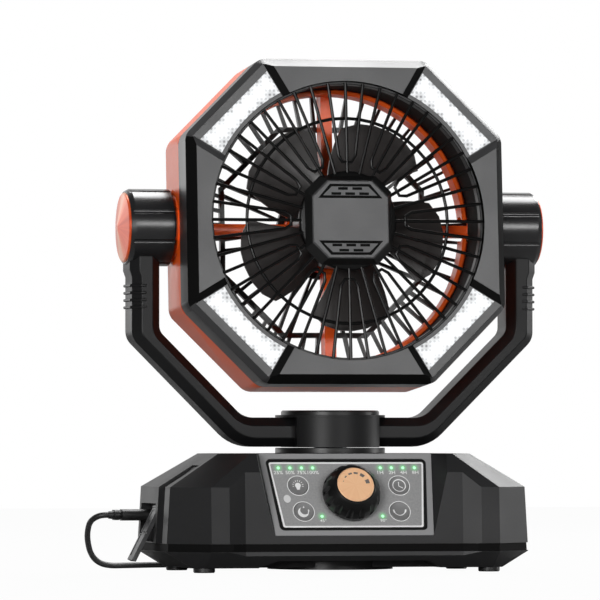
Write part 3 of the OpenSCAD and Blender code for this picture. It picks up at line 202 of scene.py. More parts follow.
# Frosted polycarbonate over a row of lit lamps, with a moulded grid of small prisms:
# brightest along its middle, with grey dots towards its rim
def lampLens():
    mat, tree, bsdf = startMaterial("frostedPolycarbonate", "#3b3d3f", 0.3, ior=1.58)
    coords = addNode(tree, "TexCoord")
    local = addNode(tree, "Mapping", {"vector_type": "TEXTURE", "Location": headMiddle,
                                      "Rotation": (headTilt, 0, 0)}, {"Vector": (coords, "Object")})
    # The four lenses lie on the diagonals: turned and folded, they are one
    turned = addNode(tree, "Mapping", {"Rotation": (0, 0, radians(45))}, {"Vector": (local, "Vector")})
    fold = addNode(tree, "VectorMath", {"operation": "ABSOLUTE"}, {0: (turned, "Vector")})
    split = addNode(tree, "SeparateXYZ", {}, {"Vector": (fold, "Vector")})
    across = addNode(tree, "Math", {"operation": "MAXIMUM"}, {0: (split, "X"), 1: (split, "Y")})
    along = addNode(tree, "Math", {"operation": "MINIMUM"}, {0: (split, "X"), 1: (split, "Y")})
    beside = addNode(tree, "Math", {"operation": "SUBTRACT", 1: lensGlow["middle"] * mm}, {0: (across, 0)})
    off = addNode(tree, "Math", {"operation": "ABSOLUTE"}, {0: (beside, 0)})
    rim = addNode(tree, "MapRange", {"From Min": lensGlow["plain"] * mm, "From Max": lensGlow["rim"] * mm},
                  {"Value": (off, 0)})
    near, far = lensGlow["ends"]
    ends = addNode(tree, "MapRange", {"From Min": near * mm, "From Max": far * mm}, {"Value": (along, 0)})
    edge = addNode(tree, "Math", {"operation": "MAXIMUM"}, {0: (rim, "Result"), 1: (ends, "Result")})
    halfPitch, dip = lensGlow["ledPitch"] * mm / 2, lensGlow["dimBetweenLeds"]
    lamps = addNode(tree, "Math", {"operation": "PINGPONG", 1: halfPitch}, {0: (along, 0)})
    spots = addNode(tree, "MapRange", {"From Max": halfPitch, "To Min": -dip, "To Max": dip},
                    {"Value": (lamps, 0)})
    faded = addNode(tree, "Math", {"operation": "ADD", "use_clamp": True},
                    {0: (edge, 0), 1: (spots, "Result")})
    prisms = addNode(tree, "TexVoronoi", {"voronoi_dimensions": "2D", "Scale": scaleOf(lensGlow["prism"]),
                                          "Randomness": 0.0}, {"Vector": (local, "Vector")})
    start, end = lensGlow["dotEdge"]
    dots = addNode(tree, "MapRange", {"From Min": start, "From Max": end, "To Min": 1.0, "To Max": 0.0},
                   {"Value": (prisms, "Distance")})
    depth = addNode(tree, "MapRange", {"From Min": 0.1, "To Min": 0.0, "To Max": lensGlow["dimDots"]},
                    {"Value": (faded, 0)})
    shade = addNode(tree, "Math", {"operation": "MULTIPLY"}, {0: (dots, "Result"), 1: (depth, "Result")})
    square = addNode(tree, "Math", {"operation": "POWER", 1: 2.0}, {0: (faded, 0)})
    dim = addNode(tree, "Math", {"operation": "MULTIPLY_ADD", 1: lensGlow["dimRim"]},
                  {0: (square, 0), 2: (shade, 0)})
    bsdf.inputs["Emission Color"].default_value = linear("#fbfdff")
    addNode(tree, "Math", {"operation": "SUBTRACT", 0: lensGlow["full"]}, {1: (dim, 0)},
            (0, bsdf, "Emission Strength"))
    addNode(tree, "Bump", {"Strength": 0.5, "Distance": 0.15 * mm}, {"Height": (dots, "Result")},
            ("Normal", bsdf, "Normal"))
    return mat


# Right-hand indicators in the panel's own frame, which the left-hand ones mirror, in mm; reach and glow size
# the painted green glow round each
indicators = {
    "places": [(20.9, 18), (27.8, 18), (34.9, 18), (42.1, 18), (18.7, -14.3)], "reach": 4, "glow": 0.42}


# Screen-printed polycarbonate overlay: satin grey, with a painted green glow round each indicator for their
# spilt light
def panelSkin():
    mat, tree, bsdf = startMaterial("printedPolycarbonate", "#7d7d7d", 0.42, ior=1.58)
    coords = addNode(tree, "TexCoord")
    local = addNode(tree, "Mapping", {"vector_type": "TEXTURE", "Location": panelMiddle,
                                      "Rotation": (panelLean, 0, 0)}, {"Vector": (coords, "Object")})
    split = addNode(tree, "SeparateXYZ", {}, {"Vector": (local, "Vector")})
    right = addNode(tree, "Math", {"operation": "ABSOLUTE"}, {0: (split, "X")})
    folded = addNode(tree, "CombineXYZ", {}, {"X": (right, 0), "Y": (split, "Y")})
    paintedGlows = []
    for x, y in indicators["places"]:
        far = addNode(tree, "VectorMath", {"operation": "DISTANCE", 1: (x * mm, y * mm, 0)},
                      {0: (folded, "Vector")})
        fall = {"From Max": indicators["reach"] * mm, "To Min": indicators["glow"], "To Max": 0.0}
        paintedGlows.append(addNode(tree, "MapRange", {"interpolation_type": "SMOOTHERSTEP", **fall},
                             {"Value": (far, "Value")}))
    paintedHalo = paintedGlows[0]
    for glow in paintedGlows[1:]:
        paintedHalo = addNode(tree, "Math", {"operation": "ADD"}, {0: (paintedHalo, 0), 1: (glow, 0)})
    # Painted glow: emission on the overlay that stands in for the indicators' spilt light
    tree.links.new(paintedHalo.outputs[0], bsdf.inputs["Emission Strength"])
    bsdf.inputs["Emission Color"].default_value = linear("#2fd562")
    grain = addNode(tree, "TexNoise", {"Scale": scaleOf(0.91), "Detail": 2.0}, {"Vector": (coords, "Object")})
    addNode(tree, "ValToRGB", {"stops": [(0.3, "#929292"), (0.7, "#9e9e9e")]}, {"Fac": (grain, "Fac")},
            ("Color", bsdf, "Base Color"))
    addNode(tree, "Bump", {"Strength": 0.15, "Distance": 0.03 * mm}, {"Height": (grain, "Fac")},
            ("Normal", bsdf, "Normal"))
    return mat


# Clear epoxy light pipe or a milky window, lit from behind
def litPlastic(name, colour, light, strength):
    mat, _, bsdf = startMaterial(name, colour, 0.25)
    bsdf.inputs["Emission Color"].default_value = linear(light)
    bsdf.inputs["Emission Strength"].default_value = strength
    return mat


# Glass-filled epoxy board under green or white solder mask, with tracks 1.1 mm apart, four
# to a cell
def laminate(name, dark, light):
    mat, tree, bsdf = startMaterial(name, dark, 0.35)
    coords = addNode(tree, "TexCoord")
    colours = {"Color1": linear(dark), "Color2": linear(dark), "Mortar": linear(light)}
    addNode(tree, "TexBrick", {"Scale": scaleOf(4.55), "Mortar Size": 0.03, **colours},
            {"Vector": (coords, "Object")}, ("Color", bsdf, "Base Color"))
    return mat


# Colour ramps of the spun caps, from darker to lighter; their lighter ends are painted highlights
peachToSheen = [(0.25, "#f6bf92"), (0.5, "#fcc89b"), (0.75, "#ffd0a4")]
amberToHighlight = [(0.3, "#d8410f"), (0.5, "#ee5c28"), (0.7, "#fb8458"), (1.0, "#ffb898")]
knobMiddle = (0, -1)  # on the panel, in mm
knobCapMiddle = panelPlace @ Vector((knobMiddle[0] * mm, knobMiddle[1] * mm, 0))
finish = {
    "housing": grainedPlastic("grainedAbs", "#202021", 0.44, ior=1.34),
    "lowerHousing": grainedPlastic("grainedAbsLower", "#2b2b2c", 0.45, ior=1.38),
    "yoke": grainedPlastic("grainedAbsYoke", "#101011", 0.42, ior=1.36),
    "pivot": grainedPlastic("glossAbsBlack", "#1b1b1c", 0.24, depthMm=0.015, mottle=0.05),
    "bezel": grainedPlastic("grainedAbsBezel", "#353536", 0.36, depthMm=0.03),
    "panelFrame": grainedPlastic("satinAbsGrey", "#949495", 0.38, mottle=0.05),
    "orange": grainedPlastic("orangeAbs", "#ff6016", 0.36, depthMm=0.02, mottle=0.04),
    "black": grainedPlastic("blackAbs", "#0b0b0b", 0.36),
    "wire": grainedPlastic("blackNylon", "#050505", 0.34, depthMm=0.01, ior=1.32),
    "blade": grainedPlastic("smokedPolypropylene", "#2b2726", 0.34, depthMm=0.015),
    "badge": grainedPlastic("paintedAbsGrey", "#3c3c3d", 0.38, depthMm=0.02, mottle=0.04),
    # Dull near-black below: painted shade for the air tunnel's wall, the lamp recess ends that face down or
    # sideways and the base's groove; it also blackens the badge's engraving
    "duct": grainedPlastic("paintedShadeBlack", "#080808", 0.7, ior=1.2),
    "button": grainedPlastic("satinAbsButton", "#7c7c7c", 0.42, mottle=0.05),
    "rubber": softRubber("blackTpe", "#0e0e0e", "#222222"),
    "flap": softRubber("greyTpe", "#3c3c3d", "#4a4a4b"),
    "knob": grainedPlastic("mouldedAbsBlack", "#0b0b0b", 0.3, depthMm=0.02),
    "steel": turnedMetal("zincPlatedSteel", "#b9bbbd", 0.3),
    "motor": turnedMetal("paintedSteelCan", "#77797b", 0.45),
    "lens": lampLens(),
    "overlay": panelSkin(),
    "board": laminate("epoxyBoardGreen", "#12442a", "#1d6a41"),
    "lampBoard": laminate("epoxyBoardWhite", "#e8e8e8", "#cfcfcf"),
    "cell": grainedPlastic("heatShrinkPvc", "#1f5f9f", 0.3),
    "indicator": litPlastic("clearEpoxyGreen", "#b9ffc8", "#a6ffbe", 0.75),
    "window": litPlastic("milkyAcrylic", "#c9c9c9", "#ffffff", 0.1),
    "ink": grainedPlastic("whiteInk", "#f0f0f0", 0.5, mottle=0.02),
    "blackInk": grainedPlastic("blackInkBorder", "#0a0a0a", 0.35, mottle=0.02),
    "greyInk": grainedPlastic("greyInkDashes", "#6d6763", 0.5, mottle=0.02),
    "knobCap": spunMetal("spunAluminiumPeach", peachToSheen, knobCapMiddle, (panelLean, 0, 0), 0.42, 0.1,
                         bumpy=0.05),
    "pivotCap": spunMetal("spunAluminiumOrange", amberToHighlight, headMiddle, (0, radians(90), 0), 0.34, 0.2,
                          spread=1.5, fan=(0.985, 0.17, 0), highlightShare=0.6),
}

nodeFinish = {
    "housing": "base_upper_shell",
    "lowerHousing": "base_lower_shell",
    "yoke": "yoke_frame swivel_hub",
    "pivot": "left_pivot_housing right_pivot_housing",
    "bezel": "head_bezel",
    "panelFrame": "panel_frame",
    "orange": "head_shroud",
    "black": "swivel_collar hub_cap hook_plate rear_guard battery_holder hanging_hook button_switches",
    "wire": "front_grille",
    "blade": "impeller",
    "badge": "grille_badge",
    "button": "light_button night_button timer_button swing_button",
    "rubber": "rubber_feet charge_plug charge_cable cable_coil cable_tie usb_plug",
    "flap": "port_flap",
    "knob": "knob_grip",
    "knobCap": "knob_cap",
    "steel": "base_screws plate_screws head_screws hook_pin flap_pin knob_shaft swivel_shaft fan_shaft"
             " left_trunnion right_trunnion knob_encoder charge_socket output_socket",
    "motor": "fan_motor swing_gearmotor",
    "lens": "light_lenses",
    "overlay": "panel_overlay",
    "board": "control_board port_board",
    "lampBoard": "light_boards",
    "cell": "battery_cells",
    "indicator": "panel_lights",
    "window": "receiver_window",
    "pivotCap": "left_pivot_cap right_pivot_cap",
}
for key, names in nodeFinish.items():
    for name in names.split():
        nodes[name].data.materials.clear()
        nodes[name].data.materials.append(finish[key])
        for face in nodes[name].data.polygons:
            face.material_index = 0
print("finishes made")


# Makes the finished object of a bmesh, placed in its mesh, riding on a body. looks: names of
# its finishes. stands: the nodes it stands for
def finishObject(name, bm, body, looks, place=None, smooth=True, stands=(), crease=None):
    if place is not None:
        bmesh.ops.transform(bm, matrix=place, verts=bm.verts)
    for face in bm.faces:
        face.smooth = smooth
    if crease:
        for edge in bm.edges:
            edge.smooth = not (len(edge.link_faces) == 2 and edge.calc_face_angle(0) > radians(crease))
    mesh = bpy.data.meshes.new(name)
    bm.to_mesh(mesh)
    bm.free()
    obj = addObject(name, mesh)
    for key in looks.split():
        mesh.materials.append(finish[key])
    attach(obj, body)
    if stands:
        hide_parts(*stands)
    return obj


# Rounds edges sharper than angle, or without one those that carry a bevel weight
def addBevel(obj, name, width, segments, angle=None):
    bevel = obj.modifiers.new(name, "BEVEL")
    bevel.width = width * mm
    bevel.segments = segments
    bevel.use_clamp_overlap = angle is not None
    if angle is None:
        bevel.limit_method = "WEIGHT"
    else:
        bevel.limit_method = "ANGLE"
        bevel.angle_limit = radians(angle)
        bevel.harden_normals = True


# Merged copy of a node's mesh, which is loose triangles
def mergedCopy(node):
    bm = bmesh.new()
    bm.from_mesh(nodes[node].data)
    bmesh.ops.remove_doubles(bm, verts=bm.verts, dist=2e-6)
    return bm


# Adds a skin through rings of as many points, with flat ends or closed into a ring
def addSkin(bm, rings, closed=False):
    loops = []
    for ring in rings:
        verts = [bm.verts.new(p) for p in ring]
        loops.append([bm.edges.new(pair) for pair in zip(verts, verts[1:] + verts[:1])])
    for low, high in zip(loops, loops[1:] + (loops[:1] if closed else [])):
        bmesh.ops.bridge_loops(bm, edges=low + high)
    if not closed:
        bmesh.ops.edgeloop_fill(bm, edges=loops[0])
        bmesh.ops.edgeloop_fill(bm, edges=loops[-1])


# Adds a round wire along points
def addTube(bm, points, radius, sides=8, closed=False):
    count = len(points)
    rings = []
    for i, p in enumerate(points):
        before = points[i - 1] if i or closed else p
        after = points[(i + 1) % count] if i + 1 < count or closed else p
        run = (after - before).normalized()
        across = run.cross(Vector((0, 0, 1))).normalized()
        up = across.cross(run)
        turns = [2 * pi * k / sides for k in range(sides)]
        rings.append([p + radius * (across * cos(a) + up * sin(a)) for a in turns])
    addSkin(bm, rings, closed)


# Turns a line of (radius, height) points round z
def addTurned(bm, profile, steps=96):
    line = [bm.verts.new((r, 0, z)) for r, z in profile]
    edges = [bm.edges.new(pair) for pair in zip(line, line[1:])]
    bmesh.ops.spin(bm, geom=line + edges, cent=(0, 0, 0), axis=(0, 0, 1), dvec=(0, 0, 0),
                   angle=2 * pi, steps=steps, use_merge=True)
    bmesh.ops.remove_doubles(bm, verts=bm.verts, dist=1e-4)


# Turns a closed shape's faces outwards and takes it from mm to metres
def closeShape(bm):
    bmesh.ops.recalc_face_normals(bm, faces=bm.faces)
    bmesh.ops.scale(bm, vec=(mm, mm, mm), verts=bm.verts)


# Charging lead, in mm
lead = {
    "thick": 3.6,
    "route": [  # from the relief to where it joins the coil
        (-133, 20, 33.8), (-135, 20, 33.8), (-138.2, 21, 33.3), (-141, 23.6, 31.8), (-142.6, 27.6, 29.4),
        (-142.8, 32.5, 26), (-142, 39, 21), (-140, 46, 15.8), (-137, 54, 10.8), (-132.5, 62.5, 6.4),
        (-126.5, 71, 3.4), (-118.5, 79.5, 2), (-109, 87.5, 1.8), (-97, 94.6, 1.8), (-85.5, 100.2, 1.8)],
    "coilMiddle": (-52, 92), "joinAngle": 142.0, "leaveAngle": 90.0, "angleStep": 12,
    "turns": [  # radius and height of each turn, which steps over to the next in its last part
        (23.4, 1.8), (19.8, 1.8), (19.8, 5.4), (23.4, 5.4), (19.8, 9.0), (23.4, 9.0)],
    "stepPart": 0.12,
    "tail": [
        (-42, 116.4, 7.6), (-32, 119.2, 4.6), (-23, 121.2, 3.4), (-15.3, 120.2, 3.6), (-11.5, 115.6, 3.8),
        (-11.7, 110.5, 3.8)],
}


def leadPoints():
    points = [Vector(p) for p in lead["route"]]
    cx, cy = lead["coilMiddle"]
    turns, stepFrom = lead["turns"], 1 - lead["stepPart"]
    total = 360 * (len(turns) - 1) + lead["joinAngle"] - lead["leaveAngle"]
    steps = int(total / lead["angleStep"])
    for i in range(steps + 1):
        done = total * i / steps
        k = min(int(done / 360), len(turns) - 1)
        into = done / 360 - k
        r, z = turns[k]
        if into > stepFrom and k + 1 < len(turns):
            share = (into - stepFrom) / lead["stepPart"]
            share = share * share * (3 - 2 * share)
            r, z = r + (turns[k + 1][0] - r) * share, z + (turns[k + 1][1] - z) * share
        a = radians(lead["joinAngle"] - done)
        points.append(Vector((cx + r * cos(a), cy + r * sin(a), z)))
    return points + [Vector(p) for p in lead["tail"]]


# Catmull-Rom curve through the points
def smoothLine(points, steps=4):
    out = []
    for i in range(len(points) - 1):
        p0, p1 = points[max(i - 1, 0)], points[i]
        p2, p3 = points[i + 1], points[min(i + 2, len(points) - 1)]
        for k in range(steps):
            t = k / steps
            lean, bend, twist = p2 - p0, 2 * p0 - 5 * p1 + 4 * p2 - p3, 3 * p1 - p0 - 3 * p2 + p3
            out.append(0.5 * (2 * p1 + lean * t + bend * t * t + twist * t ** 3))
    return out + [points[-1]]


def layLead():
    line = smoothLine(leadPoints())
    curve = bpy.data.curves.new("chargingLead", "CURVE")
    curve.dimensions = "3D"
    curve.bevel_depth = lead["thick"] * mm / 2
    curve.bevel_resolution = 4
    curve.use_fill_caps = True
    spline = curve.splines.new("POLY")
    spline.points.add(len(line) - 1)
    for point, place in zip(spline.points, line):
        point.co = (*(place * mm), 1)
    spline.use_smooth = True
    obj = addObject("chargingLead", curve)
    curve.materials.append(finish["rubber"])
    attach(obj, "base")
    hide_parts("charge_cable", "cable_coil")


layLead()
print("lead laid")

# Corners of the head's outline, which are rounded more than the rest: radius in mm, and
# how sharp and how far out an edge is that counts as one
headCorner = {"radius": 3.5, "segments": 5, "sharp": 20, "farOut": 100}


def markCorners(bm):
    layer = bm.edges.layers.float.new("bevel_weight_edge")
    for edge in bm.edges:
        a, b = (v.co for v in edge.verts)
        along, middle = abs((b - a).normalized().z) > 0.5, (a + b).xy / 2
        sharp = edge.calc_face_angle(0) > radians(headCorner["sharp"])
        outside = all(f.normal.xy.dot(middle) > 0 for f in edge.link_faces)
        if along and sharp and outside and middle.length > headCorner["farOut"] * mm:
            edge[layer] = 1.0


# Paints shade into the groove where the two shells of the base meet, blackening it between its heights in mm
groove = (12.6, 17.3)


def shadeBaseGroove(bm):
    for z in groove:
        bmesh.ops.bisect_plane(bm, geom=bm.verts[:] + bm.edges[:] + bm.faces[:], dist=1e-6,
                               plane_co=(0, 0, z * mm), plane_no=(0, 0, 1))
    for face in bm.faces:
        inside = groove[0] * mm < face.calc_center_median().z < groove[1] * mm
        face.material_index = 1 if inside else 0


# Where the bezel's painted shade goes, in mm: radii of the air tunnel and the lamp recesses, and depths
# behind its front
bezelShadeZones = {
    "ductRadius": 84.8, "recessFront": 0.1, "recessBack": 7.5, "recessRadius": 116, "recessFrom": 70}


# Paints shade: blackens the air tunnel's inner wall and the ends of the lamp recesses that face down or
# sideways, where shade falls, but not the ends that face up, which the light reaches
def shadeBezel(bm):
    markCorners(bm)
    front = max(v.co.z for v in bm.verts)
    for face in bm.faces:
        middle, n = face.calc_center_median(), face.normal
        far, deep = middle.xy.length, front - middle.z
        inDuct = far < bezelShadeZones["ductRadius"] * mm
        if inDuct and abs(n.z) < 0.3 and n.xy.dot(middle.xy) < 0:
            face.material_index = 1
        inRecess = bezelShadeZones["recessFront"] * mm < deep < bezelShadeZones["recessBack"] * mm
        # painted shade on recess ends that face down or sideways; those facing up stay lit
        if inRecess and far < bezelShadeZones["recessRadius"] * mm and 0.1 < n.z < 0.97 and n.y < 0.3:
            out = Vector((1 if middle.x > 0 else -1, 1 if middle.y > 0 else -1)).normalized()
            isEnd = abs(n.xy.dot(Vector((-out.y, out.x)))) > 0.25
            if isEnd and middle.xy.dot(out) > bezelShadeZones["recessFrom"] * mm:
                face.material_index = 1


# Bars of the rear guard: the radii between which they lie, and what is added, in mm
guardBars = {"from": 32, "to": 75, "side": 0.45, "strutsTo": 66, "frontSide": 1.5}


# Gives the guard's bars the thickness that they have once their edges are rounded
def thickenGuard(bm):
    back = min(v.co.z for v in bm.verts)
    for v in bm.verts:
        far, lean = v.co.xy.length, v.normal.xy
        if guardBars["from"] * mm < far < guardBars["to"] * mm and lean.length > 0.1:
            isFront = v.co.z > back + 1 * mm
            v.co.xy += lean.normalized() * guardBars["side"] * mm
            if isFront and far < guardBars["strutsTo"] * mm:
                v.co.z += guardBars["frontSide"] * mm


mouldedPieces = {  # node: body, edge radius in mm, finish, slot
    "base_upper_shell": ("base", 0.7, "housing", "housing"),
    "base_lower_shell": ("base", 0.6, "lowerHousing", "housing"),
    "panel_frame": ("base", 0.3, "panelFrame", "panel_grey"),
    "swivel_collar": ("base", 0.4, "black", "black_plastic"),
    "hook_plate": ("base", 0.4, "black", "black_plastic"),
    "port_flap": ("flap", 0.25, "flap", "soft_black"),
    "swivel_hub": ("yoke", 0.6, "yoke", "housing"),
    "hub_cap": ("yoke", 0.5, "black", "black_plastic"),
    "left_pivot_housing": ("yoke", 0.4, "pivot", "housing"),
    "right_pivot_housing": ("yoke", 0.4, "pivot", "housing"),
    "head_bezel": ("head", 0.6, "bezel", "housing"),
    "head_shroud": ("head", 0.8, "orange", "orange"),
    "rear_guard": ("head", 0.3, "black", "black_plastic"),
    "knob_grip": ("knob", 0.3, "knob", "black_plastic"),
    "impeller": ("rotor", 0.3, "blade", "blade"),
}
mouldedChanges = {  # node: what changes it, the frame it does that in, further finishes
    # The base and bezel changes paint shade into the base's groove, the air tunnel's wall and the lamp recess
    # ends
    "base_upper_shell": (shadeBaseGroove, Matrix(), ["duct"]),
    "base_lower_shell": (shadeBaseGroove, Matrix(), ["duct"]),
    "head_bezel": (shadeBezel, headPlace, ["duct"]),
    "head_shroud": (markCorners, headPlace, []),
    "rear_guard": (thickenGuard, headPlace, []),
}
creaseAngle = {"knob_grip": 28, "impeller": 28}  # the others have creases from 11 degrees


# A copy of the node's mesh whose creases are rounded as a mould leaves them
def softEdges(node):
    body, width, look, slotName = mouldedPieces[node]
    angle, looks = creaseAngle.get(node, 11), [look]
    bm = mergedCopy(node)
    if node in mouldedChanges:
        change, place, more = mouldedChanges[node]
        looks += more
        bm.transform(place.inverted())
        bm.normal_update()
        change(bm)
        bm.transform(place)
        bm.normal_update()
    obj = finishObject(node + "Moulded", bm, body, " ".join(looks),
                       stands=(node,), crease=angle)
    if "bevel_weight_edge" in obj.data.attributes:
        addBevel(obj, "roundedCorners", headCorner["radius"], headCorner["segments"])
    addBevel(obj, "roundedEdges", width, 2, angle)


for node in mouldedPieces:
    softEdges(node)
print("moulded pieces softened")

# Control panel: prints, labels, buttons and the dashes on the knob's cap, in mm
panel = {
    "lowHalf": 48.7, "topHalf": 53.5, "long": 54.6, "inset": 3.55, "top": -0.6, "ink": 0.04,
    "steps": [(0, 1.6), (2.0, 1.3), (3.1, 0.8)]}  # inset and corner radius of the borders' edges


def panelOutline(inset):
    h = panel["long"] / 2
    return [(-panel["lowHalf"] + inset, -h + inset), (panel["lowHalf"] - inset, -h + inset),
            (panel["topHalf"] - inset, h - inset), (-panel["topHalf"] + inset, h - inset)]


def roundCorners(points, radius, steps=6):
    out = []
    for i, p in enumerate(points):
        here, before, after = Vector(p), Vector(points[i - 1]), Vector(points[(i + 1) % len(points)])
        u, v = (before - here).normalized(), (after - here).normalized()
        half = u.angle(v) / 2
        middle = here + (u + v).normalized() * radius / sin(half)
        start = here + u * radius / tan(half) - middle
        for k in range(steps + 1):
            out.append(middle + Matrix.Rotation((pi - 2 * half) * k / steps, 2) @ start)
    return [(p[0], p[1]) for p in out]


def circlePoints(x, y, r, steps=32, start=0.0, sweep=360.0):
    count = steps if abs(sweep) >= 360 else steps + 1
    angles = [radians(start + sweep * k / steps) for k in range(count)]
    return [(x + r * cos(a), y + r * sin(a)) for a in angles]


# Adds a flat shape to a bmesh: height(x, y) gives its z
def addFlat(bm, outline, height):
    bm.faces.new([bm.verts.new((x, y, height(x, y))) for x, y in outline])


# Adds the band between two lines of as many points
def addBand(bm, outer, inner, height, closed=True):
    edges = []
    for line in (outer, inner):
        row = [bm.verts.new((x, y, height(x, y))) for x, y in line]
        nexts = row[1:] + row[:1] if closed else row[1:]
        edges += [bm.edges.new(pair) for pair in zip(row, nexts)]
    bmesh.ops.bridge_loops(bm, edges=edges)


def addStroke(bm, points, width, height):
    left, right = [], []
    for i, p in enumerate(points):
        a, b = Vector(points[max(i - 1, 0)]), Vector(points[min(i + 1, len(points) - 1)])
        d = (b - a).normalized()
        side = Vector((-d.y, d.x)) * width / 2
        left.append(tuple(Vector(p) + side))
        right.append(tuple(Vector(p) - side))
    addBand(bm, right, left, height, closed=False)


# Makes the piece of a print, whose faces all look out of the surface
def printed(name, bm, look, body, place=panelPlace):
    bmesh.ops.recalc_face_normals(bm, faces=bm.faces)
    for face in bm.faces:
        if face.normal.z < 0:
            face.normal_flip()
    bmesh.ops.scale(bm, vec=(mm, mm, mm), verts=bm.verts)
    return finishObject(name, bm, body, look, place=place, smooth=False)


# Height of a print on the panel
def onPanel(x, y):
    return panel["top"] + panel["ink"]


# Black border round the plate, and the white line within it
def printBorders():
    edges = [roundCorners(panelOutline(panel["inset"] + inset), radius) for inset, radius in panel["steps"]]
    borders = (("panelBorder", "blackInk"), ("panelLine", "ink"))
    for (name, look), outer, inner in zip(borders, edges, edges[1:]):
        bm = bmesh.new()
        addBand(bm, outer, inner, onPanel)
        printed(name, bm, look, "base")


# Words and numbers: text, x, y, width and height
labels = [
    ("25%", -42.4, 14.9, 5.6, 2.3), ("50%", -35.2, 14.9, 5.6, 2.3), ("75%", -28.0, 14.9, 5.6, 2.3),
    ("100%", -20.9, 14.9, 7.0, 2.3), ("1H", 20.6, 14.9, 3.6, 2.3), ("2H", 27.8, 14.9, 3.9, 2.3),
    ("4H", 34.9, 14.9, 3.9, 2.3), ("8H", 42.3, 14.9, 3.9, 2.3), ("45°", -18.3, -17.2, 4.0, 1.9),
    ("90°", 18.9, -17.2, 4.0, 1.9)]
# The flap's own frame has its origin on its hinge pin and leans out; its words read from outside
flap = {"pin": (-107, -9, 38.8), "lean": 27, "skin": 0.94}
flapLabels = [("OUT", -7.5, -9.9, 7.6, 4.2), ("IN", -7.5, -25.9, 5.2, 4.2)]
facingOut = Matrix(((0, 0, -1, 0), (-1, 0, 0, 0), (0, 1, 0, 0), (0, 0, 0, 1)))
flapLean = Matrix.Rotation(radians(flap["lean"]), 4, "Y")
flapPlace = Matrix.Translation(Vector(flap["pin"]) * mm) @ flapLean @ facingOut


# Flat mesh of a text, stretched to a width and height round x, y, at height z
def textMesh(words, x, y, wide, high, z):
    curve = bpy.data.curves.new("label", "FONT")
    curve.body = words
    curve.size = 1
    curve.offset = 0.012
    curve.resolution_u = 2
    text = addObject("label", curve)
    bpy.context.view_layer.update()
    mesh = bpy.data.meshes.new_from_object(text)
    bpy.data.objects.remove(text)
    bm = bmesh.new()
    bm.from_mesh(mesh)
    xs, ys = [v.co.x for v in bm.verts], [v.co.y for v in bm.verts]
    for v in bm.verts:
        v.co.x = x + ((v.co.x - min(xs)) / (max(xs) - min(xs)) - 0.5) * wide
        v.co.y = y + ((v.co.y - min(ys)) / (max(ys) - min(ys)) - 0.5) * high
        v.co.z = z
    return bm


def printLabels():
    for index, (words, *box) in enumerate(labels):
        printed(f"panelLabel{index}", textMesh(words, *box, onPanel(0, 0)), "ink", "base")
    for index, (words, *box) in enumerate(flapLabels, len(labels)):
        bm = textMesh(words, *box, flap["skin"])
        printed(f"flapLabel{index}", bm, "blackInk", "flap", flapPlace)


button = {
    "radius": 6.0, "rim": 5.5, "deep": 0.85, "top": -0.05, "lip": 0.12, "skirt": 2.2, "sides": 48,
    "edge": [(0, 0.3), (0.12, 0.08), (0.3, 0)],  # inset and depth of the rounded edge
    "ring": (6.26, 6.75), "print": 0.05, "thin": 0.34, "line": 0.5, "arrow": 1.0}
buttonPlaces = {"light": (-31.2, 6.1), "night": (-29.6, -11.1), "timer": (31.2, 6.1), "swing": (29.6, -11.1)}


# Height of the hollow in a button's top
def dish(x, y):
    hollow = max(0.0, 1 - (x * x + y * y) / button["rim"] ** 2)
    return button["top"] - button["lip"] - button["deep"] * hollow


# Height of a print on a button
def onDish(x, y):
    return dish(x, y) + button["print"]


def bulbIcon(bm):
    socket = [(-0.95, -1.9), (-0.75, -2.6), (0.75, -2.6), (0.95, -1.9)]
    addFlat(bm, circlePoints(0, 0.35, 1.75, 20, -40, 260) + socket, onDish)
    for k in range(9):
        a = radians(-14 + 208 * k / 8)
        addStroke(bm, [(r * cos(a), 0.35 + r * sin(a)) for r in (2.5, 3.5)], button["thin"], onDish)


def moonIcon(bm):
    outer = circlePoints(-0.3, -0.5, 3.3, 24, 118, 262)
    inner = circlePoints(0.75, 0.95, 2.75, 24, 133, 232)
    addFlat(bm, outer + inner[::-1], onDish)
    for x, y, r in ((0.2, 3.0, 0.75), (3.0, 1.0, 0.6)):
        points = [(radians(45 * k), r if k % 2 == 0 else r * 0.4) for k in range(8)]
        addFlat(bm, [(x + far * cos(a), y + far * sin(a)) for a, far in points], onDish)


def clockIcon(bm):
    addBand(bm, circlePoints(0, 0, 4.15), circlePoints(0, 0, 3.6), onDish)
    addStroke(bm, [(-0.1, 2.5), (-0.1, 1.0), (-0.1, -0.35)], button["line"], onDish)
    addStroke(bm, [(-0.3, -0.05), (1.2, -1.0), (2.3, -1.7)], button["line"], onDish)


def swingIcon(bm):
    addStroke(bm, circlePoints(0, 0.9, 3.5, 22, 178, 184), button["line"], onDish)
    for side in (-1, 1):
        tip = [(side * 3.75, 1.1), (side * 3.55, 0.0), (side * 3.15, -0.9)]
        addStroke(bm, tip, button["arrow"], onDish)


def makeButton(name, icon):
    x, y = buttonPlaces[name]
    place = panelPlace @ Matrix.Translation((x * mm, y * mm, 0))
    body, r, top = "button_" + name, button["radius"], button["top"]
    profile = [(0, top - button["skirt"]), (r, top - button["skirt"])]
    profile += [(r - inset, top - deep) for inset, deep in button["edge"]]
    profile += [(button["rim"] * s, dish(button["rim"] * s, 0)) for s in (1.0, 0.85, 0.7, 0.5, 0.3, 0.0)]
    bm = bmesh.new()
    addTurned(bm, profile, button["sides"])
    closeShape(bm)
    finishObject(name + "Button", bm, body, "button", place,
                 stands=(name + "_button",), crease=40)
    bm = bmesh.new()
    icon(bm)
    printed(name + "Icon", bm, "ink", body, place)
    bm = bmesh.new()
    inner, outer = (circlePoints(0, 0, radius, button["sides"]) for radius in button["ring"])
    addBand(bm, outer, inner, onPanel)
    printed(name + "Ring", bm, "ink", "base", place)


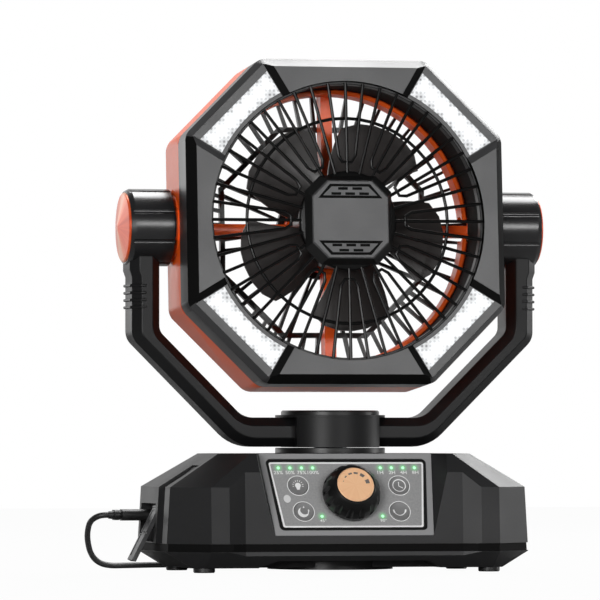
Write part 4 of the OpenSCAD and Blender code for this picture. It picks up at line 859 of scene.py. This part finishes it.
knobCapTop = 15 - 1.6 + 1.8  # the grip's height, less the cap's seat, and the cap
knobDashes = {"radius": 7.6, "ink": 0.04, "marks": [  # angle, arc length and radial width
    (163, 0.6, 0.4), (138, 1.6, 0.7), (111, 2.3, 1.0), (84, 2.5, 1.2), (53, 2.6, 1.9), (15, 2.6, 2.4)]}


def printKnobDashes():
    bm = bmesh.new()
    r = knobDashes["radius"]
    for angle, arc, wide in knobDashes["marks"]:
        half = degrees(arc / 2 / r)
        outer, inner = (circlePoints(0, 0, r + w, 4, angle - half, 2 * half) for w in (wide / 2, -wide / 2))
        addBand(bm, outer, inner, lambda x, y: knobCapTop + knobDashes["ink"], closed=False)
    place = panelPlace @ Matrix.Translation((knobMiddle[0] * mm, knobMiddle[1] * mm, 0))
    printed("knobDashes", bm, "greyInk", "knob", place)


printBorders()
printLabels()
for name, icon in (("light", bulbIcon), ("night", moonIcon), ("timer", clockIcon), ("swing", swingIcon)):
    makeButton(name, icon)
printKnobDashes()
print("panel printed")

# Front grille of round wires, in mm in the head's own frame; its profiles are radii and heights
grille = {
    "loops": 12, "wire": 1.0, "front": 45.4, "rimRadius": 83.4, "legStart": 42.5, "spokeStart": 29.0,
    "tip": [(39.3, 5.2), (35.4, 2.8)], "ringRadius": 62.0, "ringFront": 43.7, "ringSteps": 48,
    "rim": [(84.2, 38.4), (84.2, 44.0), (83.9, 44.3), (82.9, 44.3), (82.6, 44.0), (82.6, 38.4), (84.2, 38.4)],
    "hub": [(0, 42), (30, 42), (30, 45.1), (29.8, 45.4), (28.6, 46.2), (0, 46.2)]}


def makeGrille():
    bm = bmesh.new()
    step, front, wire = 2 * pi / grille["loops"], grille["front"], grille["wire"]
    leg = step / 4
    side = [(r * cos(leg), r * sin(leg)) for r in (grille["rimRadius"], grille["legStart"])] + grille["tip"]
    loop = side + [(x, -y) for x, y in side[::-1]]
    for i in range(grille["loops"]):
        turn = Matrix.Rotation(i * step, 3, "Z")
        addTube(bm, [turn @ Vector((x, y, front)) for x, y in loop], wire)
        for a in (0, step / 2):
            spoke = turn @ Matrix.Rotation(a, 3, "Z")
            reach = (grille["spokeStart"], grille["rimRadius"])
            addTube(bm, [spoke @ Vector((r, 0, front)) for r in reach], wire)
    ring = circlePoints(0, 0, grille["ringRadius"], grille["ringSteps"])
    addTube(bm, [Vector((x, y, grille["ringFront"])) for x, y in ring], wire, closed=True)
    addTurned(bm, grille["rim"])
    addTurned(bm, grille["hub"])
    closeShape(bm)
    finishObject("roundWireGrille", bm, "head", "wire", headPlace,
                 stands=("front_grille",), crease=40)


makeGrille()
print("grille made")

# Badge, in mm: its face and engraving, and the black that runs a little over the engraving's edges
badge = {
    "top": 51.54, "floorFrom": 0.2, "wallTo": 0.9, "engravedHalf": 21.5, "skirtFrom": 0.7,
    "lineHeight": 15.5, "outer": (19.8, -2.7, 12.4, 5.9), "inner": (16.8, -1.1, 11.3, 4.3),
    "slots": [(-4.4, 3.1), (4.4, 3.1), (-8.6, 0), (0, 0), (8.6, 0)], "slotHalf": (3.0, 0.8)}


# Blackens the engraving's floors and walls, and the skirt
def blackenBadge():
    bm = mergedCopy("grille_badge")
    bm.transform(headPlace.inverted())
    bm.normal_update()
    top = max(v.co.z for v in bm.verts)
    for face in bm.faces:
        middle, slope = face.calc_center_median(), face.normal.z
        deep, far = top - middle.z, max(abs(middle.x), abs(middle.y))
        isFloor = slope > 0.98 and deep > badge["floorFrom"] * mm
        isWall = abs(slope) < 0.1 and deep < badge["wallTo"] * mm and far < badge["engravedHalf"] * mm
        if isFloor or isWall:
            face.material_index = 1
        elif 0.1 < slope < 0.9 and deep > badge["skirtFrom"] * mm:
            face.material_index = 2
    finishObject("paintedBadge", bm, "head", "badge duct black", headPlace, smooth=False,
                 stands=("grille_badge",))


# Height of the black lines on the badge
def onBadge(x, y):
    return badge["top"]


def drawBadgeLines():
    bm = bmesh.new()
    low, (wide, high) = badge["lineHeight"], badge["slotHalf"]
    for side in (1, -1):
        bands = []
        for foot, down, head, up in (badge["outer"], badge["inner"]):
            points = [(-foot, low + down), (foot, low + down), (head, low + up), (-head, low + up)]
            bands.append([(x, side * y) for x, y in points])
        addBand(bm, *bands, onBadge)
        for x, y in badge["slots"]:
            corners = [(x - wide, y - high), (x + wide, y - high), (x + wide, y + high), (x - wide, y + high)]
            addFlat(bm, [(px, side * (low + py)) for px, py in corners], onBadge)
    printed("badgeBlackLines", bm, "duct", "head", headPlace)


blackenBadge()
drawBadgeLines()
print("badge painted")

# Yoke with rounded bends, a thicker stretch under each pivot and finger ribs, in mm
yoke = {
    "armOut": 125.0, "armIn": 108.0, "top": 190.0, "depth": 30.0, "chamfer": 5.2, "edge": 0.6,
    "highOut": 140.2, "highIn": 144.7, "straightTo": 160.2, "highRound": (11, 8),
    "lowOut": 59.8, "lowIn": 56.0, "barLow": 75.0, "barTop": 92.7, "lowRound": (27, 14),
    "cheek": 1.4, "cheekLow": 177.0, "cheekEnd": 181.0,
    "ribs": 4, "ribTop": 171.9, "ribPitch": 4.35, "ribThick": 1.7,
    "ribOut": 1.2, "ribBend": 0.3, "ribRoot": 8, "ribSide": 0.5}


# Points of an arc that rounds corner p, from the side whose outward normal is m to the one
# with normal n, and the normal at each
def cornerArc(p, m, n, radius, hollow=False, steps=6):
    reach = -radius if hollow else radius
    middle = p - (m + n) / (1 + m.dot(n)) * reach
    out = []
    for k in range(steps + 1):
        normal = Matrix.Rotation(m.angle_signed(n, 0) * -k / steps, 2) @ m
        out.append((middle + normal * reach, normal))
    return out


# Outer and inner line of the right half, from the top of the arm to the bar under the head
def yokeLines():
    size = yoke
    right, slant, down = Vector((1, 0)), Vector((1, -1)).normalized(), Vector((0, -1))
    cheekOut = size["armOut"] + size["cheek"]
    outer = [(Vector((cheekOut, z)), right) for z in (size["top"], size["cheekEnd"])]
    outer += [(Vector((size["armOut"], z)), right) for z in (size["cheekLow"], size["straightTo"])]
    heights = (size["top"], size["cheekEnd"], size["cheekLow"], size["straightTo"])
    inner = [(Vector((size["armIn"], z)), -right) for z in heights]
    outer += cornerArc(Vector((size["armOut"], size["highOut"])), right, slant, size["highRound"][0])
    inner += cornerArc(Vector((size["armIn"], size["highIn"])), -right, -slant, size["highRound"][1], True)
    outer += cornerArc(Vector((size["lowOut"], size["barLow"])), slant, down, size["lowRound"][0])
    inner += cornerArc(Vector((size["lowIn"], size["barTop"])), -slant, -down, size["lowRound"][1], True)
    return outer, inner


def makeYoke():
    half, c = yoke["depth"] / 2, yoke["chamfer"]
    rings = []
    for (a, m), (b, n) in zip(*yokeLines()):
        cutA, cutB = a - m * c, b - n * c
        section = [(cutA, -half), (a, -half + c), (a, half - c), (cutA, half)]
        section += [(cutB, half), (b, half - c), (b, -half + c), (cutB, -half)]
        rings.append([Vector((p.x, depth, p.y)) for p, depth in section])
    bm = bmesh.new()
    addSkin(bm, rings + [[Vector((-p.x, p.y, p.z)) for p in ring] for ring in rings[::-1]])
    arm, side = yoke["armOut"], half + yoke["ribSide"]
    root, bend, out = arm - yoke["ribRoot"], arm - c + yoke["ribBend"], arm + yoke["ribOut"]
    plan = [(root, side), (bend, side), (out, half - c), (out, -half + c), (bend, -side), (root, -side)]
    for k in range(2 * yoke["ribs"]):
        way, z = (-1, 1)[k % 2], yoke["ribTop"] - k // 2 * yoke["ribPitch"]
        ends = (z - yoke["ribThick"] / 2, z + yoke["ribThick"] / 2)
        addSkin(bm, [[Vector((way * x, y, end)) for x, y in plan] for end in ends])
    closeShape(bm)
    obj = finishObject("mouldedYoke", bm, "yoke", "yoke", stands=("yoke_frame",), crease=20)
    addBevel(obj, "roundedEdges", yoke["edge"], 2, 20)


makeYoke()
print("yoke moulded")

# Floor, backdrop and light, in metres. Glossy rays see white only where they look back past
# the object
studio = {
    "floorColour": "#8c8c8c", "floorHalf": 3.0, "floorDrop": 0.2 * mm, "floorSeen": 0.97,
    "world": 0.12, "mirrorFrom": 0.45, "mirrorFull": 0.7}
softboxes = [  # name, place, aim, width, height, watts
    ("topSoftbox", (0.3, 0.5, 1.5), (0, 0, 0.15), 0.9, 0.6, 24),
    ("frontPanel", (0.78, -2.8, 0.72), (0, 0, 0.2), 1.1, 0.45, 22),
    ("leftGrazer", (-1.0, 2.0, 0.45), (0, 0, 0.15), 0.7, 0.8, 3),
    ("leftFill", (-1.35, -2.2, 0.5), (0, 0, 0.2), 0.8, 0.8, 34),
    ("rightSide", (1.6, 0.15, 0.4), (0, 0, 0.1), 0.5, 0.7, 8),
    ("backRight", (0.95, 1.05, 1.0), (0, 0, 0.1), 0.6, 0.6, 10),
]


# Paper sweep: white to the eye, grey to the light, so that it keeps the shadow
def layFloor():
    bm = bmesh.new()
    bmesh.ops.create_grid(bm, x_segments=1, y_segments=1, size=studio["floorHalf"])
    mesh = bpy.data.meshes.new("floor")
    bm.to_mesh(mesh)
    bm.free()
    obj = addObject("floor", mesh)
    obj.location = (0, 0, -studio["floorDrop"])
    mat, tree, bsdf = startMaterial("paperSweep", studio["floorColour"], 0.9)
    path = addNode(tree, "LightPath")
    white = addNode(tree, "Emission", {"Strength": 1.0})
    seen = addNode(tree, "Math", {"operation": "MAXIMUM"},
                   {0: (path, "Is Camera Ray"), 1: (path, "Is Transmission Ray")})
    share = addNode(tree, "Math", {"operation": "MULTIPLY", 1: studio["floorSeen"]}, {0: (seen, 0)})
    addNode(tree, "MixShader", {}, {0: (share, 0), 1: (bsdf, 0), 2: (white, 0)},
            (0, tree.nodes["Material Output"], "Surface"))
    mesh.materials.append(mat)


def lightWorld():
    world = bpy.data.worlds.new("studio")
    world.use_nodes = True
    bpy.context.scene.world = world
    tree = world.node_tree
    path = addNode(tree, "LightPath")
    seen = addNode(tree, "Math", {"operation": "MAXIMUM"},
                   {0: (path, "Is Camera Ray"), 1: (path, "Is Transmission Ray")})
    aim = addNode(tree, "TexCoord")
    split = addNode(tree, "SeparateXYZ", {}, {"Vector": (aim, "Generated")})
    behind = addNode(tree, "MapRange", {"From Min": studio["mirrorFrom"], "From Max": studio["mirrorFull"]},
                     {"Value": (split, "Y")})
    mirrored = addNode(tree, "Math", {"operation": "MULTIPLY"},
                       {0: (behind, "Result"), 1: (path, "Is Glossy Ray")})
    shown = addNode(tree, "Math", {"operation": "MAXIMUM"}, {0: (seen, 0), 1: (mirrored, 0)})
    back = tree.nodes["Background"]
    back.inputs["Color"].default_value = (1, 1, 1, 1)
    addNode(tree, "MapRange", {"To Min": studio["world"]}, {"Value": (shown, 0)},
            ("Result", back, "Strength"))


def hangLamps():
    for name, place, aim, width, height, watts in softboxes:
        data = bpy.data.lights.new(name, "AREA")
        data.shape = "RECTANGLE"
        data.size, data.size_y = width, height
        data.energy = watts
        aimAt(addObject(name, data), place, aim)


layFloor()
lightWorld()
hangLamps()
bpy.context.scene.view_settings.view_transform = "Standard"
print("studio lit")
